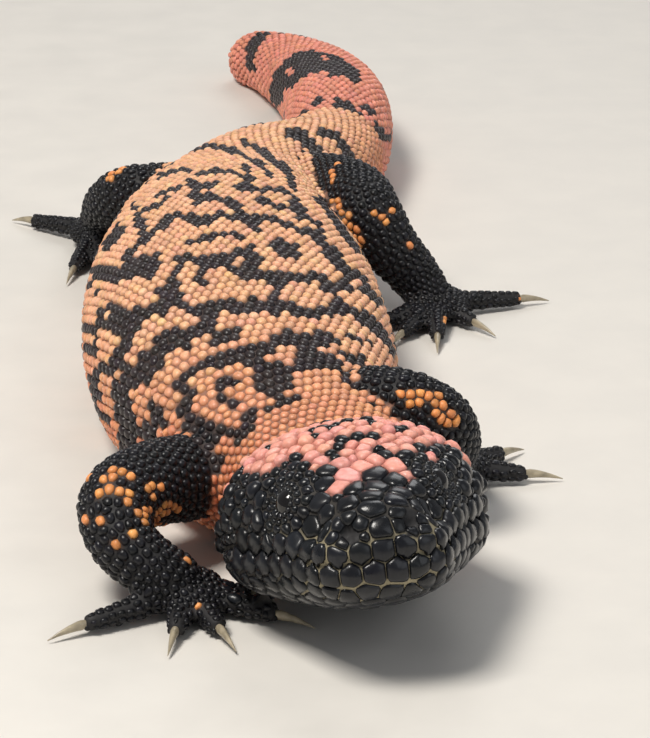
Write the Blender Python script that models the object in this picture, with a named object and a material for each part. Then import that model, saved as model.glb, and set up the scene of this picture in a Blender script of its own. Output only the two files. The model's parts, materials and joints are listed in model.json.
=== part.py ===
"""Gila monster, a still life-size model lying on the floor, its head towards -Y and +Z up.

The origin is on the floor, under the middle of the animal's box. The body is one run of cross
sections along the spine, from the back of the head to the tip of the tail, divided by thin gaps
into neck, torso and tail. Legs are runs of sections along their own bones. The head stands in a
frame of its own, lifted, turned and rolled, and is cut into head and lower jaw along the mouth.
"""

import math

import bmesh
import bpy
import numpy as np
from mathutils import Matrix, Vector

# Sizes below are in millimetres
MM = 0.001
GAP = 0.3

# The middle of the animal's box on the floor, in the coordinates used below
BOX_MIDDLE = (-0.4, 5.1)

# The head's own frame: its origin is at the front of the lips, +Y runs back along the skull
HEAD_PLACE = (25.5, -220.0, 27.0)
HEAD_YAW = math.radians(8.5)
HEAD_PITCH = math.radians(-14.0)
HEAD_ROLL = math.radians(-5.0)
HEAD_LENGTH = 54.0

# Sections of the head: distance behind the lips, half width, top, bottom
HEAD_SECTIONS = (
    (0.6, 8.6, 6.4, -5.0),
    (2.5, 11.6, 9.4, -7.2),
    (7.0, 14.2, 11.6, -9.4),
    (13.0, 17.2, 13.2, -10.8),
    (20.0, 20.0, 16.0, -11.8),
    (28.0, 23.8, 18.8, -12.2),
    (36.0, 26.3, 20.6, -12.4),
    (43.0, 25.8, 20.8, -12.4),
    (49.0, 23.2, 19.8, -12.2),
    (HEAD_LENGTH, 21.0, 18.2, -12.0),
)
SNOUT_TIP = (0.0, -1.2, -0.2)
HEAD_COLUMNS = 32
HEAD_RINGS = 22
HEAD_MIDDLE_RISE = 1.5

# Hollows in front of the eyes and brows over them: place on the left, reach each way, height
HEAD_SHAPES = (
    ((13.5, 9.5, 7.0), (7.0, 5.0, 3.4), -3.0),
    ((12.5, 18.5, 15.5), (6.0, 6.5, 5.0), 1.6),
    ((23.0, 30.0, -4.5), (6.0, 8.0, 4.0), 1.2),
)

# The mouth's cut: distance behind the lips, height of the line; then down the angle of the jaw
MOUTH_LINE = ((-8.0, 0.2), (4.0, 0.2), (14.0, 1.4), (24.0, 0.6), (35.0, 0.4), (39.0, -6.0), (42.0, -24.0))
MOUTH_WIDTH = 0.45

# Eyes, nostrils and ears, as places in the head's frame; x is given for the left side
EYE_PLACE = (13.4, 19.5, 9.6)
EYE_RADIUS = 3.3
LID_RADIUS = 3.7
NOSTRIL_PLACE = (6.4, 1.2, 6.6)
NOSTRIL_RADIUS = 1.1
EAR_PLACE = (25.6, 42.5, 3.0)
EAR_RADII = (2.4, 1.5, 3.4)

# Plates along the lips: how many a side, where the first and last stand, their size and spacing
LIP_PLATES = 8
LIP_PLATES_START = 2.6
LIP_PLATES_END = 33.0
LIP_PLATE_RADII = (1.5, 2.3, 1.9)
LIP_PLATE_ABOVE = 2.2
LIP_PLATE_BELOW = 2.3

# Sections of the body: x, y, height of the widest level, half width, rise above it, depth below it
BODY_SECTIONS = (
    (12.0, -155.0, 16.5, 21.2, 18.0, 16.0),
    (4.5, -137.0, 17.5, 26.5, 20.5, 18.5),
    (-1.5, -110.0, 18.5, 33.0, 22.5, 21.0),
    (-5.6, -80.0, 19.0, 35.4, 24.0, 22.5),
    (-8.4, -45.0, 19.0, 34.0, 24.0, 22.5),
    (-10.2, -10.0, 18.0, 28.8, 22.5, 21.0),
    (-7.4, 18.0, 17.0, 24.6, 20.0, 19.5),
    (0.5, 44.0, 16.5, 22.2, 18.4, 18.5),
    (11.0, 67.0, 15.0, 17.0, 16.0, 16.5),
    (17.0, 88.0, 14.0, 14.4, 15.0, 15.0),
    (18.5, 116.0, 14.0, 15.8, 16.0, 15.0),
    (16.5, 149.0, 13.0, 15.0, 15.0, 14.0),
    (9.0, 184.0, 11.0, 12.6, 12.8, 12.0),
    (-2.5, 213.0, 9.0, 9.8, 10.0, 9.4),
    (-12.0, 227.0, 6.4, 6.6, 6.8, 6.8),
)
TAIL_TIP = (-17.0, 231.5, 5.2)

# Where the body is divided, counted in sections from the back of the head
DIVISIONS = (
    ("neck", 0.0, 1.2),
    ("torso_front", 1.2, 5.0),
    ("torso_rear", 5.0, 9.3),
    ("tail_base", 9.3, 11.4),
    ("tail_middle", 11.4, 13.4),
    ("tail_tip", 13.4, 15.0),
)
BODY_COLUMNS = 36
BELLY_STARTS = 0.72
BELLY_COLUMNS = 4
ROW_PITCH = 5.4
TOP_SQUARENESS = 2.25
BELLY_SQUARENESS = 2.6

# Beads: every other corner of a surface's grid is raised and the corners between are sunk
BEAD_RISE = 0.85
BEAD_SINK = 0.75
HEAD_BEAD_RISE = 0.8
HEAD_BEAD_SINK = 0.6
SNOUT_FLATNESS = 0.45
BEADS_START_ABOVE = 2.5
BEADS_FULL_ABOVE = 6.0

# Leg bones: x, y, z and half width at each joint, from inside the body to the wrist or ankle
FORE_RIGHT = (
    (4.0, -145.0, 15.0, 9.5),
    (-9.5, -153.5, 16.5, 9.3),
    (-20.5, -163.0, 18.5, 9.0),
    (-27.0, -173.0, 18.0, 8.2),
    (-25.0, -180.5, 13.0, 7.0),
    (-18.5, -183.5, 8.8, 6.2),
)
FORE_LEFT = (
    (4.0, -134.0, 20.0, 9.5),
    (18.0, -138.0, 24.5, 9.2),
    (29.0, -144.5, 28.0, 8.6),
    (37.5, -144.5, 25.0, 7.8),
    (41.0, -136.5, 17.5, 6.8),
    (41.0, -127.5, 10.5, 6.2),
)
HIND_RIGHT = (
    (-1.0, 42.0, 16.0, 10.5),
    (-15.0, 33.0, 19.0, 9.6),
    (-27.5, 24.5, 22.0, 8.8),
    (-37.5, 24.5, 22.0, 7.8),
    (-43.0, 33.5, 16.5, 7.0),
    (-45.5, 45.0, 10.5, 6.2),
)
HIND_LEFT = (
    (1.0, 33.0, 19.0, 11.5),
    (15.0, 21.0, 23.5, 10.8),
    (22.5, 4.0, 27.0, 9.6),
    (26.0, -6.5, 25.5, 8.8),
    (31.5, -7.5, 17.5, 7.6),
    (37.5, -7.0, 10.5, 6.6),
)

# Feet: middle of the palm, way its front points in degrees, then the tips of the toes
FEET = (
    ("hand_right", "upper_arm_right", "forearm_right", FORE_RIGHT, (-12.5, -183.0), -60.0,
     ((0.0, -180.5), (5.5, -190.5), (-5.8, -197.0), (-14.5, -198.0), (-32.5, -195.0))),
    ("hand_left", "upper_arm_left", "forearm_left", FORE_LEFT, (41.5, -120.0), 20.0,
     ((44.0, -136.0), (59.0, -118.5), (54.0, -106.5), (44.0, -101.0), (34.0, -103.0))),
    ("foot_right", "thigh_right", "shin_right", HIND_RIGHT, (-47.5, 50.0), 235.0,
     ((-33.5, 36.0), (-37.5, 28.0), (-44.5, 22.5), (-52.0, 22.0), (-67.0, 65.0))),
    ("foot_left", "thigh_left", "shin_left", HIND_LEFT, (43.0, -9.5), -40.0,
     ((27.0, -22.0), (33.5, -28.0), (42.3, -30.0), (52.0, -20.0), (65.0, -1.5))),
)
PALM_RADIUS = 8.4
PALM_HEIGHT = 8.6
TOE_ROOT = 2.9
TOE_TIP = 2.1
TOE_RINGS = 8
TOE_SIDES = 8
TOE_GROOVE = 0.3
LIMB_COLUMNS = 14
LIMB_PITCH = 4.2
CLAW_LENGTH = 7.5
CLAW_RADIUS = 1.05
CLAW_LIFT = 0.5
CLAW_SIDES = 6

PEACH = (0.82, 0.52, 0.36, 1.0)
PINK = (0.80, 0.42, 0.34, 1.0)
BLACK = (0.020, 0.021, 0.026, 1.0)
EYE_BLACK = (0.006, 0.005, 0.005, 1.0)
HORN = (0.55, 0.50, 0.38, 1.0)


def material(name, colour, roughness):
    """A plain finish with the part's colour."""
    made = bpy.data.materials.new(name)
    made.use_nodes = True
    shader = made.node_tree.nodes["Principled BSDF"]
    shader.inputs["Base Color"].default_value = colour
    shader.inputs["Roughness"].default_value = roughness
    shader.inputs["Metallic"].default_value = 0.0
    return made


def smooth_curve(knots, values, at):
    """Values read between knots, along a smooth curve through them."""
    knots = np.asarray(knots, float)
    values = np.asarray(values, float)
    at = np.asarray(at, float)
    slopes = np.gradient(values, knots, axis=0)
    low = np.clip(np.searchsorted(knots, at, side="right") - 1, 0, len(knots) - 2)
    step = (knots[low + 1] - knots[low])[:, None]
    u = (at - knots[low])[:, None] / step
    start = (2 * u**3 - 3 * u**2 + 1) * values[low] + (u**3 - 2 * u**2 + u) * step * slopes[low]
    end = (3 * u**2 - 2 * u**3) * values[low + 1] + (u**3 - u**2) * step * slopes[low + 1]
    return start + end


def unit(vectors):
    return vectors / np.linalg.norm(vectors, axis=-1, keepdims=True)


def head_frame():
    turn = Matrix.Rotation(HEAD_YAW, 4, "Z") @ Matrix.Rotation(HEAD_PITCH, 4, "X")
    return Matrix.Translation(HEAD_PLACE) @ turn @ Matrix.Rotation(HEAD_ROLL, 4, "Y")


def half_outline(width, rise, depth, fractions):
    """Points from the top of a section round one side to its bottom, spaced by length."""
    angle = np.linspace(math.pi / 2, -math.pi / 2, 121)
    across = width * np.abs(np.cos(angle)) ** (2 / TOP_SQUARENESS)
    lower = np.abs(np.cos(angle)) ** (2 / BELLY_SQUARENESS) * width
    across = np.where(angle < 0, lower, across)
    up = rise * np.abs(np.sin(angle)) ** (2 / TOP_SQUARENESS)
    down = -depth * np.abs(np.sin(angle)) ** (2 / BELLY_SQUARENESS)
    height = np.where(angle < 0, down, up)
    length = np.concatenate([[0.0], np.cumsum(np.hypot(np.diff(across), np.diff(height)))])
    at = np.asarray(fractions) * length[-1]
    return np.interp(at, length, across), np.interp(at, length, height)


def ring(place, side, up, width, rise, depth, fractions):
    """A closed ring of points round a place, from the top by the left side and back."""
    across, height = half_outline(width, rise, depth, fractions)
    across = np.concatenate([across, -across[-2:0:-1]])
    height = np.concatenate([height, height[-2:0:-1]])
    return place + across[:, None] * side + height[:, None] * up


def beaded(points, middles, rise, sink, amount):
    """A grid of rings with its corners raised and sunk by turns, away from each ring's middle."""
    rows, columns = np.indices(points.shape[:2])
    away = unit(points - middles[:, None])
    height = np.where((rows + columns) % 2 == 0, rise, -sink) * amount
    height[[0, -1]] = 0.0
    return points + away * height[..., None]


def root_distance(points, bones):
    """How far points are outside the thick line that a leg follows into the body."""
    near = np.full(points.shape[:2], np.inf)
    for start, end in zip(bones[:3], bones[1:4]):
        line = np.array(end[:3]) - np.array(start[:3])
        offset = points - np.array(start[:3])
        share = np.clip(offset @ line / (line @ line), 0.0, 1.0)
        away = np.linalg.norm(offset - share[..., None] * line, axis=-1)
        near = np.minimum(near, away - max(start[3], end[3]))
    return near


def column_fractions(columns, belly_starts, belly_columns):
    """Even columns down the back and flank, and a few wide ones under the belly."""
    flank = np.linspace(0.0, belly_starts, columns // 2 - belly_columns + 1)
    belly = np.linspace(belly_starts, 1.0, belly_columns + 1)[1:]
    return np.concatenate([flank, belly])


def body_table():
    """The body's sections with the back of the head in front of them."""
    frame = head_frame()
    start = frame @ Vector((0.0, HEAD_LENGTH, HEAD_MIDDLE_RISE))
    along = frame.to_3x3() @ Vector((0.0, 1.0, 0.0))
    last = HEAD_SECTIONS[-1]
    rise, depth = last[2] - HEAD_MIDDLE_RISE, HEAD_MIDDLE_RISE - last[3]
    first = (start.x, start.y, start.z, last[1], rise, depth)
    table = np.array([first, *BODY_SECTIONS])
    return table, np.array(along)


def body_rings(start, end, extra=0.0):
    """Rings of the body between two counts of sections, each side of a ring moved out by extra."""
    table, head_along = body_table()
    knots = np.arange(len(table), dtype=float)
    table = np.vstack([table, (*TAIL_TIP, 0.0, 0.0, 0.0)])
    knots = np.append(knots, knots[-1] + 0.45)
    fine = np.linspace(0.0, knots[-2], 1501)
    places = smooth_curve(knots, table[:, :3], fine)
    length = np.concatenate([[0.0], np.cumsum(np.linalg.norm(np.diff(places, axis=0), axis=1))])
    reach = np.interp([start, min(end, knots[-2])], fine, length)
    first, last = reach[0] + GAP / 2, reach[1] - GAP / 2
    rows = max(2, 2 * round((last - first) / ROW_PITCH / 2))
    at = np.interp(np.linspace(first, last, rows + 1), length, fine)
    values = smooth_curve(knots, table, at)
    step = 0.01
    ahead = smooth_curve(knots, table[:, :3], np.minimum(at + step, knots[-2]))
    behind = smooth_curve(knots, table[:, :3], np.maximum(at - step, 0.0))
    along = unit(ahead - behind)
    lead = np.clip(1.0 - at / 1.2, 0.0, 1.0)[:, None]
    along = unit(along * (1 - lead) + head_along * lead)
    roll = HEAD_ROLL * np.clip(1.0 - at / 2.0, 0.0, 1.0)
    fractions = column_fractions(BODY_COLUMNS, BELLY_STARTS, BELLY_COLUMNS)
    rings = []
    for value, way, turn in zip(values, along, roll):
        level = unit(np.cross(way, (0.0, 0.0, 1.0)))
        upright = np.cross(level, way)
        side = math.cos(turn) * level - math.sin(turn) * upright
        up = math.sin(turn) * level + math.cos(turn) * upright
        sizes = value[3:] + extra
        points = ring(value[:3], side, up, *sizes, fractions)
        points[:, 2] = np.maximum(points[:, 2], -extra)
        rings.append(points)
    return np.array(rings), values[:, :3]


def close_rings(name, rings, start_tip=None, end_tip=None, beads=False):
    """A closed mesh through rings, each end flat or drawn to a tip; beads keep their peaks."""
    mesh = bmesh.new()
    made = [[mesh.verts.new(Vector(point) * MM) for point in points] for points in rings]
    count = len(made[0])
    for row, (near, far) in enumerate(zip(made, made[1:])):
        for column in range(count):
            after = (column + 1) % count
            corners = (near[column], near[after], far[after], far[column])
            if not beads:
                mesh.faces.new(corners)
                continue
            start = (row + column + 1) % 2
            for first in (start, start + 2):
                mesh.faces.new([corners[(first + step) % 4] for step in range(3)])
    for tip, points in ((start_tip, made[0]), (end_tip, made[-1])):
        if tip is None:
            mesh.faces.new(points)
            continue
        point = mesh.verts.new(Vector(tip) * MM)
        for column in range(count):
            mesh.faces.new((points[column], points[(column + 1) % count], point))
    bmesh.ops.recalc_face_normals(mesh, faces=mesh.faces)
    data = bpy.data.meshes.new(name)
    mesh.to_mesh(data)
    mesh.free()
    made_object = bpy.data.objects.new(name, data)
    bpy.context.scene.collection.objects.link(made_object)
    return made_object


def body_node(name, start, end):
    """One length of the body, with flat ends that leave a thin gap to the next length."""
    last = float(len(BODY_SECTIONS))
    rings, middles = body_rings(start, end)
    high = (rings[..., 2] - BEADS_START_ABOVE) / (BEADS_FULL_ABOVE - BEADS_START_ABOVE)
    amount = np.clip(high, 0.0, 1.0)
    for _foot, _upper, _lower, bones, *_rest in FEET:
        amount *= np.clip((root_distance(rings, bones) - 1.0) / 2.0, 0.0, 1.0)
    rings = beaded(rings, middles, BEAD_RISE, BEAD_SINK, amount)
    if end < last:
        return close_rings(name, rings, beads=True)
    return close_rings(name, rings, end_tip=TAIL_TIP, beads=True)


def apply_modifiers(target):
    graph = bpy.context.evaluated_depsgraph_get()
    mesh = bpy.data.meshes.new_from_object(target.evaluated_get(graph))
    target.modifiers.clear()
    target.data = mesh


def surfaces(mesh):
    """The mesh's separate surfaces, as lists of faces, largest volume first."""
    left = set(mesh.faces)
    found = []
    while left:
        todo = [left.pop()]
        group = []
        while todo:
            face = todo.pop()
            group.append(face)
            for edge in face.edges:
                for near in edge.link_faces:
                    if near in left:
                        left.remove(near)
                        todo.append(near)
        found.append(group)
    return sorted(found, key=volume, reverse=True)


def volume(faces):
    total = 0.0
    for face in faces:
        base = face.verts[0].co
        for one, two in zip(face.verts[1:-1], face.verts[2:]):
            total += base.dot(one.co.cross(two.co))
    return abs(total)


def keep_surface(target, rank=0):
    """Keeps the mesh's surface of this rank by volume and drops the others."""
    mesh = bmesh.new()
    mesh.from_mesh(target.data)
    for other, faces in enumerate(surfaces(mesh)):
        if other != rank:
            bmesh.ops.delete(mesh, geom=faces, context="FACES")
    loose = [vertex for vertex in mesh.verts if not vertex.link_faces]
    bmesh.ops.delete(mesh, geom=loose, context="VERTS")
    mesh.to_mesh(target.data)
    mesh.free()


def boolean(target, others, operation, solver="EXACT"):
    """Joins others to target or cuts them from it, in one step, and removes them."""
    group = bpy.data.collections.new("cutters")
    bpy.context.scene.collection.children.link(group)
    for other in others:
        bpy.context.scene.collection.objects.unlink(other)
        group.objects.link(other)
    modifier = target.modifiers.new(operation.lower(), "BOOLEAN")
    modifier.operation = operation
    modifier.solver = solver
    modifier.operand_type = "COLLECTION"
    modifier.collection = group
    apply_modifiers(target)
    for other in list(group.objects):
        bpy.data.objects.remove(other)
    bpy.data.collections.remove(group)


def ellipsoid(name, place, radii, turn=None, sides=12, rings=7):
    mesh = bmesh.new()
    shape = Matrix.Diagonal((*radii, 1.0))
    if turn is not None:
        shape = turn @ shape
    matrix = Matrix.Scale(MM, 4) @ Matrix.Translation(place) @ shape
    bmesh.ops.create_uvsphere(mesh, u_segments=sides, v_segments=rings, radius=1.0, matrix=matrix)
    data = bpy.data.meshes.new(name)
    mesh.to_mesh(data)
    mesh.free()
    made = bpy.data.objects.new(name, data)
    bpy.context.scene.collection.objects.link(made)
    return made


def head_shaped(points):
    """Points round the head, moved in for its hollows and out for its brows and cheeks."""
    left = np.concatenate([np.abs(points[..., :1]), points[..., 1:]], axis=-1)
    away = unit((points - (0.0, 0.0, HEAD_MIDDLE_RISE)) * (1.0, 0.0, 1.0))
    height = np.zeros(points.shape[:-1])
    for place, reach, rise in HEAD_SHAPES:
        height += rise * np.exp(-(((left - place) / reach) ** 2).sum(axis=-1))
    return points + away * height[..., None]


def head_whole():
    """The whole head in its own frame, from the snout to the flat back that meets the neck."""
    table = np.array(HEAD_SECTIONS)
    share = np.linspace(0.0, 1.0, HEAD_RINGS) ** 1.25
    at = table[0, 0] + share * (HEAD_LENGTH - table[0, 0])
    values = smooth_curve(table[:, 0], table, at)
    fractions = np.linspace(0.0, 1.0, HEAD_COLUMNS // 2 + 1)
    side = np.array((1.0, 0.0, 0.0))
    up = np.array((0.0, 0.0, 1.0))
    rings = []
    for back, width, top, bottom in values:
        middle = HEAD_MIDDLE_RISE * back / HEAD_LENGTH
        place = np.array((0.0, back, middle))
        rings.append(ring(place, side, up, width, top - middle, middle - bottom, fractions))
    rings = head_shaped(np.array(rings))
    line = np.array(MOUTH_LINE)
    mouth = np.interp(rings[..., 1], line[:5, 0], line[:5, 1])
    clear = np.clip((np.abs(rings[..., 2] - mouth) - 1.5) / 3.0, 0.0, 1.0)
    flat = np.interp(rings[..., 1], (8.0, 22.0), (SNOUT_FLATNESS, 1.0))
    middles = rings.mean(axis=1)
    rings = beaded(rings, middles, HEAD_BEAD_RISE, HEAD_BEAD_SINK, clear * flat)
    return close_rings("head", rings, start_tip=SNOUT_TIP, beads=True)


def head_half_width(back, height):
    """How far the head's side stands from its middle at a distance behind the lips and a height."""
    table = np.array(HEAD_SECTIONS)
    width, top, bottom = smooth_curve(table[:, 0], table[:, 1:], [back])[0]
    middle = HEAD_MIDDLE_RISE * back / HEAD_LENGTH
    if height > middle:
        share, power = (height - middle) / (top - middle), TOP_SQUARENESS
    else:
        share, power = (middle - height) / (middle - bottom), BELLY_SQUARENESS
    return width * max(0.0, 1.0 - share**power) ** (1 / power)


def lip_plates():
    """Rows of plates above and below the mouth, larger towards the front."""
    line = np.array(MOUTH_LINE)
    plates = []
    for count in range(LIP_PLATES):
        share = count / (LIP_PLATES - 1)
        back = LIP_PLATES_START + (LIP_PLATES_END - LIP_PLATES_START) * share
        mouth = np.interp(back, line[:5, 0], line[:5, 1])
        for height in (mouth + LIP_PLATE_ABOVE, mouth - LIP_PLATE_BELOW):
            reach = head_half_width(back, height)
            step = head_half_width(back + 1.0, height) - head_half_width(back - 1.0, height)
            for sign in (1.0, -1.0):
                turn = Matrix.Rotation(-sign * math.atan2(step, 2.0), 4, "Z")
                place = (sign * (reach - 0.4), back, height)
                plates.append(ellipsoid("lip_plate", place, LIP_PLATE_RADII, turn, 6, 5))
    return plates


def mouth_cutter():
    """A thin sheet through the mouth line and down behind the jaw."""
    line = np.array(MOUTH_LINE)
    at = np.linspace(0.0, len(line) - 1.0, 25)
    points = smooth_curve(np.arange(len(line)), line, at)
    reach = 40.0
    way = unit(np.gradient(points, axis=0))
    normal = np.stack([-way[:, 1], way[:, 0]], axis=1) * MOUTH_WIDTH / 2
    upper = points + normal
    lower = points - normal
    outline = np.vstack([upper, lower[::-1]])
    rings = [[(x, y, z) for y, z in outline] for x in (-reach, reach)]
    return close_rings("mouth_cutter", rings)


def claw(name, root, way):
    """A curved, tapered claw from a toe's tip along way, level with the floor."""
    way = unit(np.array((*way, 0.0)))
    side = np.array((-way[1], way[0], 0.0))
    up = np.array((0.0, 0.0, 1.0))
    rings = []
    for share in (0.0, 0.35, 0.7):
        reach = share * CLAW_LENGTH
        drop = (root[2] - CLAW_RADIUS - CLAW_LIFT) * share**1.6
        thick = CLAW_RADIUS * (1.0 - 0.75 * share)
        place = np.array(root) + way * reach - up * drop
        angle = np.linspace(0.0, 2 * math.pi, CLAW_SIDES + 1)[:-1]
        points = [place + thick * (math.cos(a) * side + math.sin(a) * up) for a in angle]
        rings.append(points)
    tip = np.array(root) + way * CLAW_LENGTH
    tip[2] = CLAW_LIFT + 0.2
    return close_rings(name, rings, end_tip=tip)


def limb_rings(table, first, last, extra=0.0):
    """Rings along a leg between two of its joints, turned as little as the path allows."""
    table = np.array(table)
    knots = np.arange(len(table), dtype=float)
    fine = np.linspace(0.0, knots[-1], 501)
    places = smooth_curve(knots, table[:, :3], fine)
    length = np.concatenate([[0.0], np.cumsum(np.linalg.norm(np.diff(places, axis=0), axis=1))])
    start, end = np.interp([first, last], fine, length)
    start += GAP / 2
    end -= GAP / 2 - extra / 4
    rows = max(2, round((end - start) / LIMB_PITCH))
    at = np.interp(np.linspace(start, end, rows + 1), length, fine)
    values = smooth_curve(knots, table, at)
    step = 1.1
    ahead = smooth_curve(knots, table[:, :3], np.minimum(at + step, knots[-1]))
    behind = smooth_curve(knots, table[:, :3], np.maximum(at - step, 0.0))
    along = unit(ahead - behind)
    angle = np.linspace(0.0, 2 * math.pi, LIMB_COLUMNS + 1)[:-1]
    side = np.cross(along[0], (0.0, 0.0, 1.0))
    rings = []
    for value, way in zip(values, along):
        side = unit(side - way * np.dot(side, way))
        up = np.cross(side, way)
        around = np.cos(angle)[:, None] * side + np.sin(angle)[:, None] * up
        points = value[:3] + (value[3] + extra) * around
        rings.append(points)
    rings = np.array(rings)
    high = (rings[..., 2] - BEADS_START_ABOVE) / (BEADS_FULL_ABOVE - BEADS_START_ABOVE)
    amount = np.clip(high, 0.0, 1.0)
    return beaded(rings, values[:, :3], BEAD_RISE, BEAD_SINK, amount)


def toe(name, start, tip):
    """A toe that lies along the floor, with a blunt end."""
    start = np.array((*start, 4.0))
    end = np.array((*tip, TOE_TIP + 0.2))
    way = unit(end - start)
    side = unit(np.cross(way, (0.0, 0.0, 1.0)))
    up = np.cross(side, way)
    angle = np.linspace(0.0, 2 * math.pi, TOE_SIDES + 1)[:-1]
    around = np.cos(angle)[:, None] * side + np.sin(angle)[:, None] * up
    rings = []
    for count, share in enumerate(np.linspace(0.0, 1.0, TOE_RINGS)):
        place = start + (end - start) * share
        groove = TOE_GROOVE * (count % 2)
        rings.append(place + around * (TOE_ROOT + (TOE_TIP - TOE_ROOT) * share - groove))
    rings.append(end + way * 1.0 + around * TOE_TIP * 0.7)
    return close_rings(name, rings)


def floor_cutter():
    """A block whose top is the floor."""
    mesh = bmesh.new()
    size = Matrix.Diagonal((400.0, 600.0, 40.0, 1.0))
    matrix = Matrix.Scale(MM, 4) @ Matrix.Translation((0.0, 0.0, -20.0)) @ size
    bmesh.ops.create_cube(mesh, size=1.0, matrix=matrix)
    data = bpy.data.meshes.new("floor_cutter")
    mesh.to_mesh(data)
    mesh.free()
    made = bpy.data.objects.new("floor_cutter", data)
    bpy.context.scene.collection.objects.link(made)
    return made


def leg(foot_name, upper_name, lower_name, bones, palm, heading, toes):
    """Upper leg, lower leg, foot with its toes, and a claw on each toe."""
    upper = close_rings(upper_name, limb_rings(bones, 0.0, 3.0), beads=True)
    body = close_rings("body_cutter", body_rings(0.0, len(BODY_SECTIONS), GAP * 1.3)[0])
    boolean(upper, [body], "DIFFERENCE")
    keep_surface(upper)
    lower = close_rings(lower_name, limb_rings(bones, 3.0, 5.0), beads=True)
    shape = close_rings("leg_cutter", limb_rings(bones, 0.0, 3.0, 2 * GAP), beads=True)
    boolean(lower, [shape], "DIFFERENCE", "MANIFOLD")
    keep_surface(lower)

    heading = math.radians(heading)
    forward = np.array((math.cos(heading), math.sin(heading)))
    wrist = np.array(bones[-1])
    table = (
        bones[-3],
        bones[-2],
        wrist,
        (*(wrist[:2] * 0.4 + np.array(palm) * 0.6), 6.5, 6.0),
        (*palm, 4.4, 4.6),
    )
    foot = close_rings(foot_name, limb_rings(table, 2.0, 4.0), beads=True)
    turn = Matrix.Rotation(heading, 4, "Z")
    radii = (PALM_RADIUS, PALM_RADIUS * 0.9, PALM_HEIGHT / 2)
    pieces = [ellipsoid("palm", (*palm, PALM_HEIGHT / 2 - 0.3), radii, turn, 14, 7)]
    claws = []
    stem = foot_name.replace("_", "_claw_") + "_"
    for count, tip in enumerate(toes, 1):
        way = unit(np.array(tip) - np.array(palm))
        end = np.array(tip) - way * 1.0
        pieces.append(toe("toe", np.array(palm) + way * 2.5, end))
        root = (*(end + way * (1.0 + GAP)), TOE_TIP + 0.2)
        claws.append(claw(stem + str(count), root, way))
    boolean(foot, pieces, "UNION")
    shape = close_rings("leg_cutter", limb_rings(bones, 3.0, 5.0, 2 * GAP), beads=True)
    boolean(foot, [floor_cutter(), shape], "DIFFERENCE")
    keep_surface(foot)
    return upper, lower, foot, claws


def eye_turn(sign):
    """The way an eye looks: outwards, a little forwards and up."""
    way = Vector((sign * 0.86, -0.34, 0.38))
    return way.to_track_quat("Z", "Y").to_matrix().to_4x4()


def head_nodes():
    """Head, lower jaw and eyes, in the head's own frame."""
    whole = head_whole()
    lids = []
    holes = []
    eyes = []
    for name, sign in (("eye_left", 1.0), ("eye_right", -1.0)):
        place = Vector((sign * EYE_PLACE[0], EYE_PLACE[1], EYE_PLACE[2]))
        turn = eye_turn(sign)
        lids.append(ellipsoid("lid", place, (LID_RADIUS + 0.9,) * 2 + (LID_RADIUS,), turn, 14, 8))
        reach = EYE_RADIUS + GAP
        holes.append(ellipsoid("socket", place, (reach, reach, reach + 1.6), turn, 14, 8))
        eyes.append(ellipsoid(name, place, (EYE_RADIUS,) * 3, turn, 14, 8))
        nostril = (sign * NOSTRIL_PLACE[0], *NOSTRIL_PLACE[1:])
        holes.append(ellipsoid("nostril", nostril, (NOSTRIL_RADIUS,) * 3, None, 8, 5))
        ear = (sign * EAR_PLACE[0], *EAR_PLACE[1:])
        holes.append(ellipsoid("ear", ear, EAR_RADII, None, 10, 6))
    boolean(whole, lids + lip_plates(), "UNION")
    boolean(whole, holes, "DIFFERENCE")
    boolean(whole, [mouth_cutter()], "DIFFERENCE", "MANIFOLD")
    jaw = whole.copy()
    jaw.data = whole.data.copy()
    jaw.name = "lower_jaw"
    bpy.context.scene.collection.objects.link(jaw)
    keep_surface(whole, 0)
    keep_surface(jaw, 1)
    return whole, jaw, eyes


def build():
    for item in list(bpy.data.objects):
        bpy.data.objects.remove(item)
    animal = bpy.data.collections.new("gila_monster")
    bpy.context.scene.collection.children.link(animal)
    peach = material("beaded_skin_peach", PEACH, 0.55)
    pink = material("beaded_skin_pink", PINK, 0.55)
    black = material("beaded_skin_black", BLACK, 0.42)
    eye_black = material("eye_black", EYE_BLACK, 0.08)
    horn = material("claw_horn", HORN, 0.4)

    finished = []
    for name, start, end in DIVISIONS:
        finish = pink if name.startswith("tail") else peach
        finished.append((body_node(name, start, end), finish))
    for foot_name, upper_name, lower_name, bones, palm, heading, toes in FEET:
        upper, lower, foot, claws = leg(foot_name, upper_name, lower_name, bones, palm, heading, toes)
        finished += [(upper, black), (lower, black), (foot, black)]
        finished += [(piece, horn) for piece in claws]

    head, jaw, eyes = head_nodes()
    middle = bpy.data.objects.new("floor_middle", None)
    middle.location = Vector((-BOX_MIDDLE[0], -BOX_MIDDLE[1], 0.0)) * MM
    frame = bpy.data.objects.new("head_frame", None)
    frame.matrix_local = Matrix.Scale(MM, 4) @ head_frame() @ Matrix.Scale(1 / MM, 4)
    frame.parent = middle
    animal.objects.link(middle)
    animal.objects.link(frame)
    for piece in (head, jaw, *eyes):
        piece.parent = frame
    finished += [(head, black), (jaw, black)]
    finished += [(piece, eye_black) for piece in eyes]

    for piece, finish in finished:
        if piece.parent is None:
            piece.parent = middle
        piece.data.materials.clear()
        piece.data.materials.append(finish)
        bpy.context.scene.collection.objects.unlink(piece)
        animal.objects.link(piece)
    bpy.context.view_layer.update()


build()
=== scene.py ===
"""Looks of the gila monster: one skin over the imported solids, covered in raised scales."""

import itertools
import json
import math
from collections import namedtuple

import bmesh
import bpy
import numpy as np
from mathutils import Matrix, Vector
from mathutils.bvhtree import BVHTree
from mathutils.kdtree import KDTree

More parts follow.
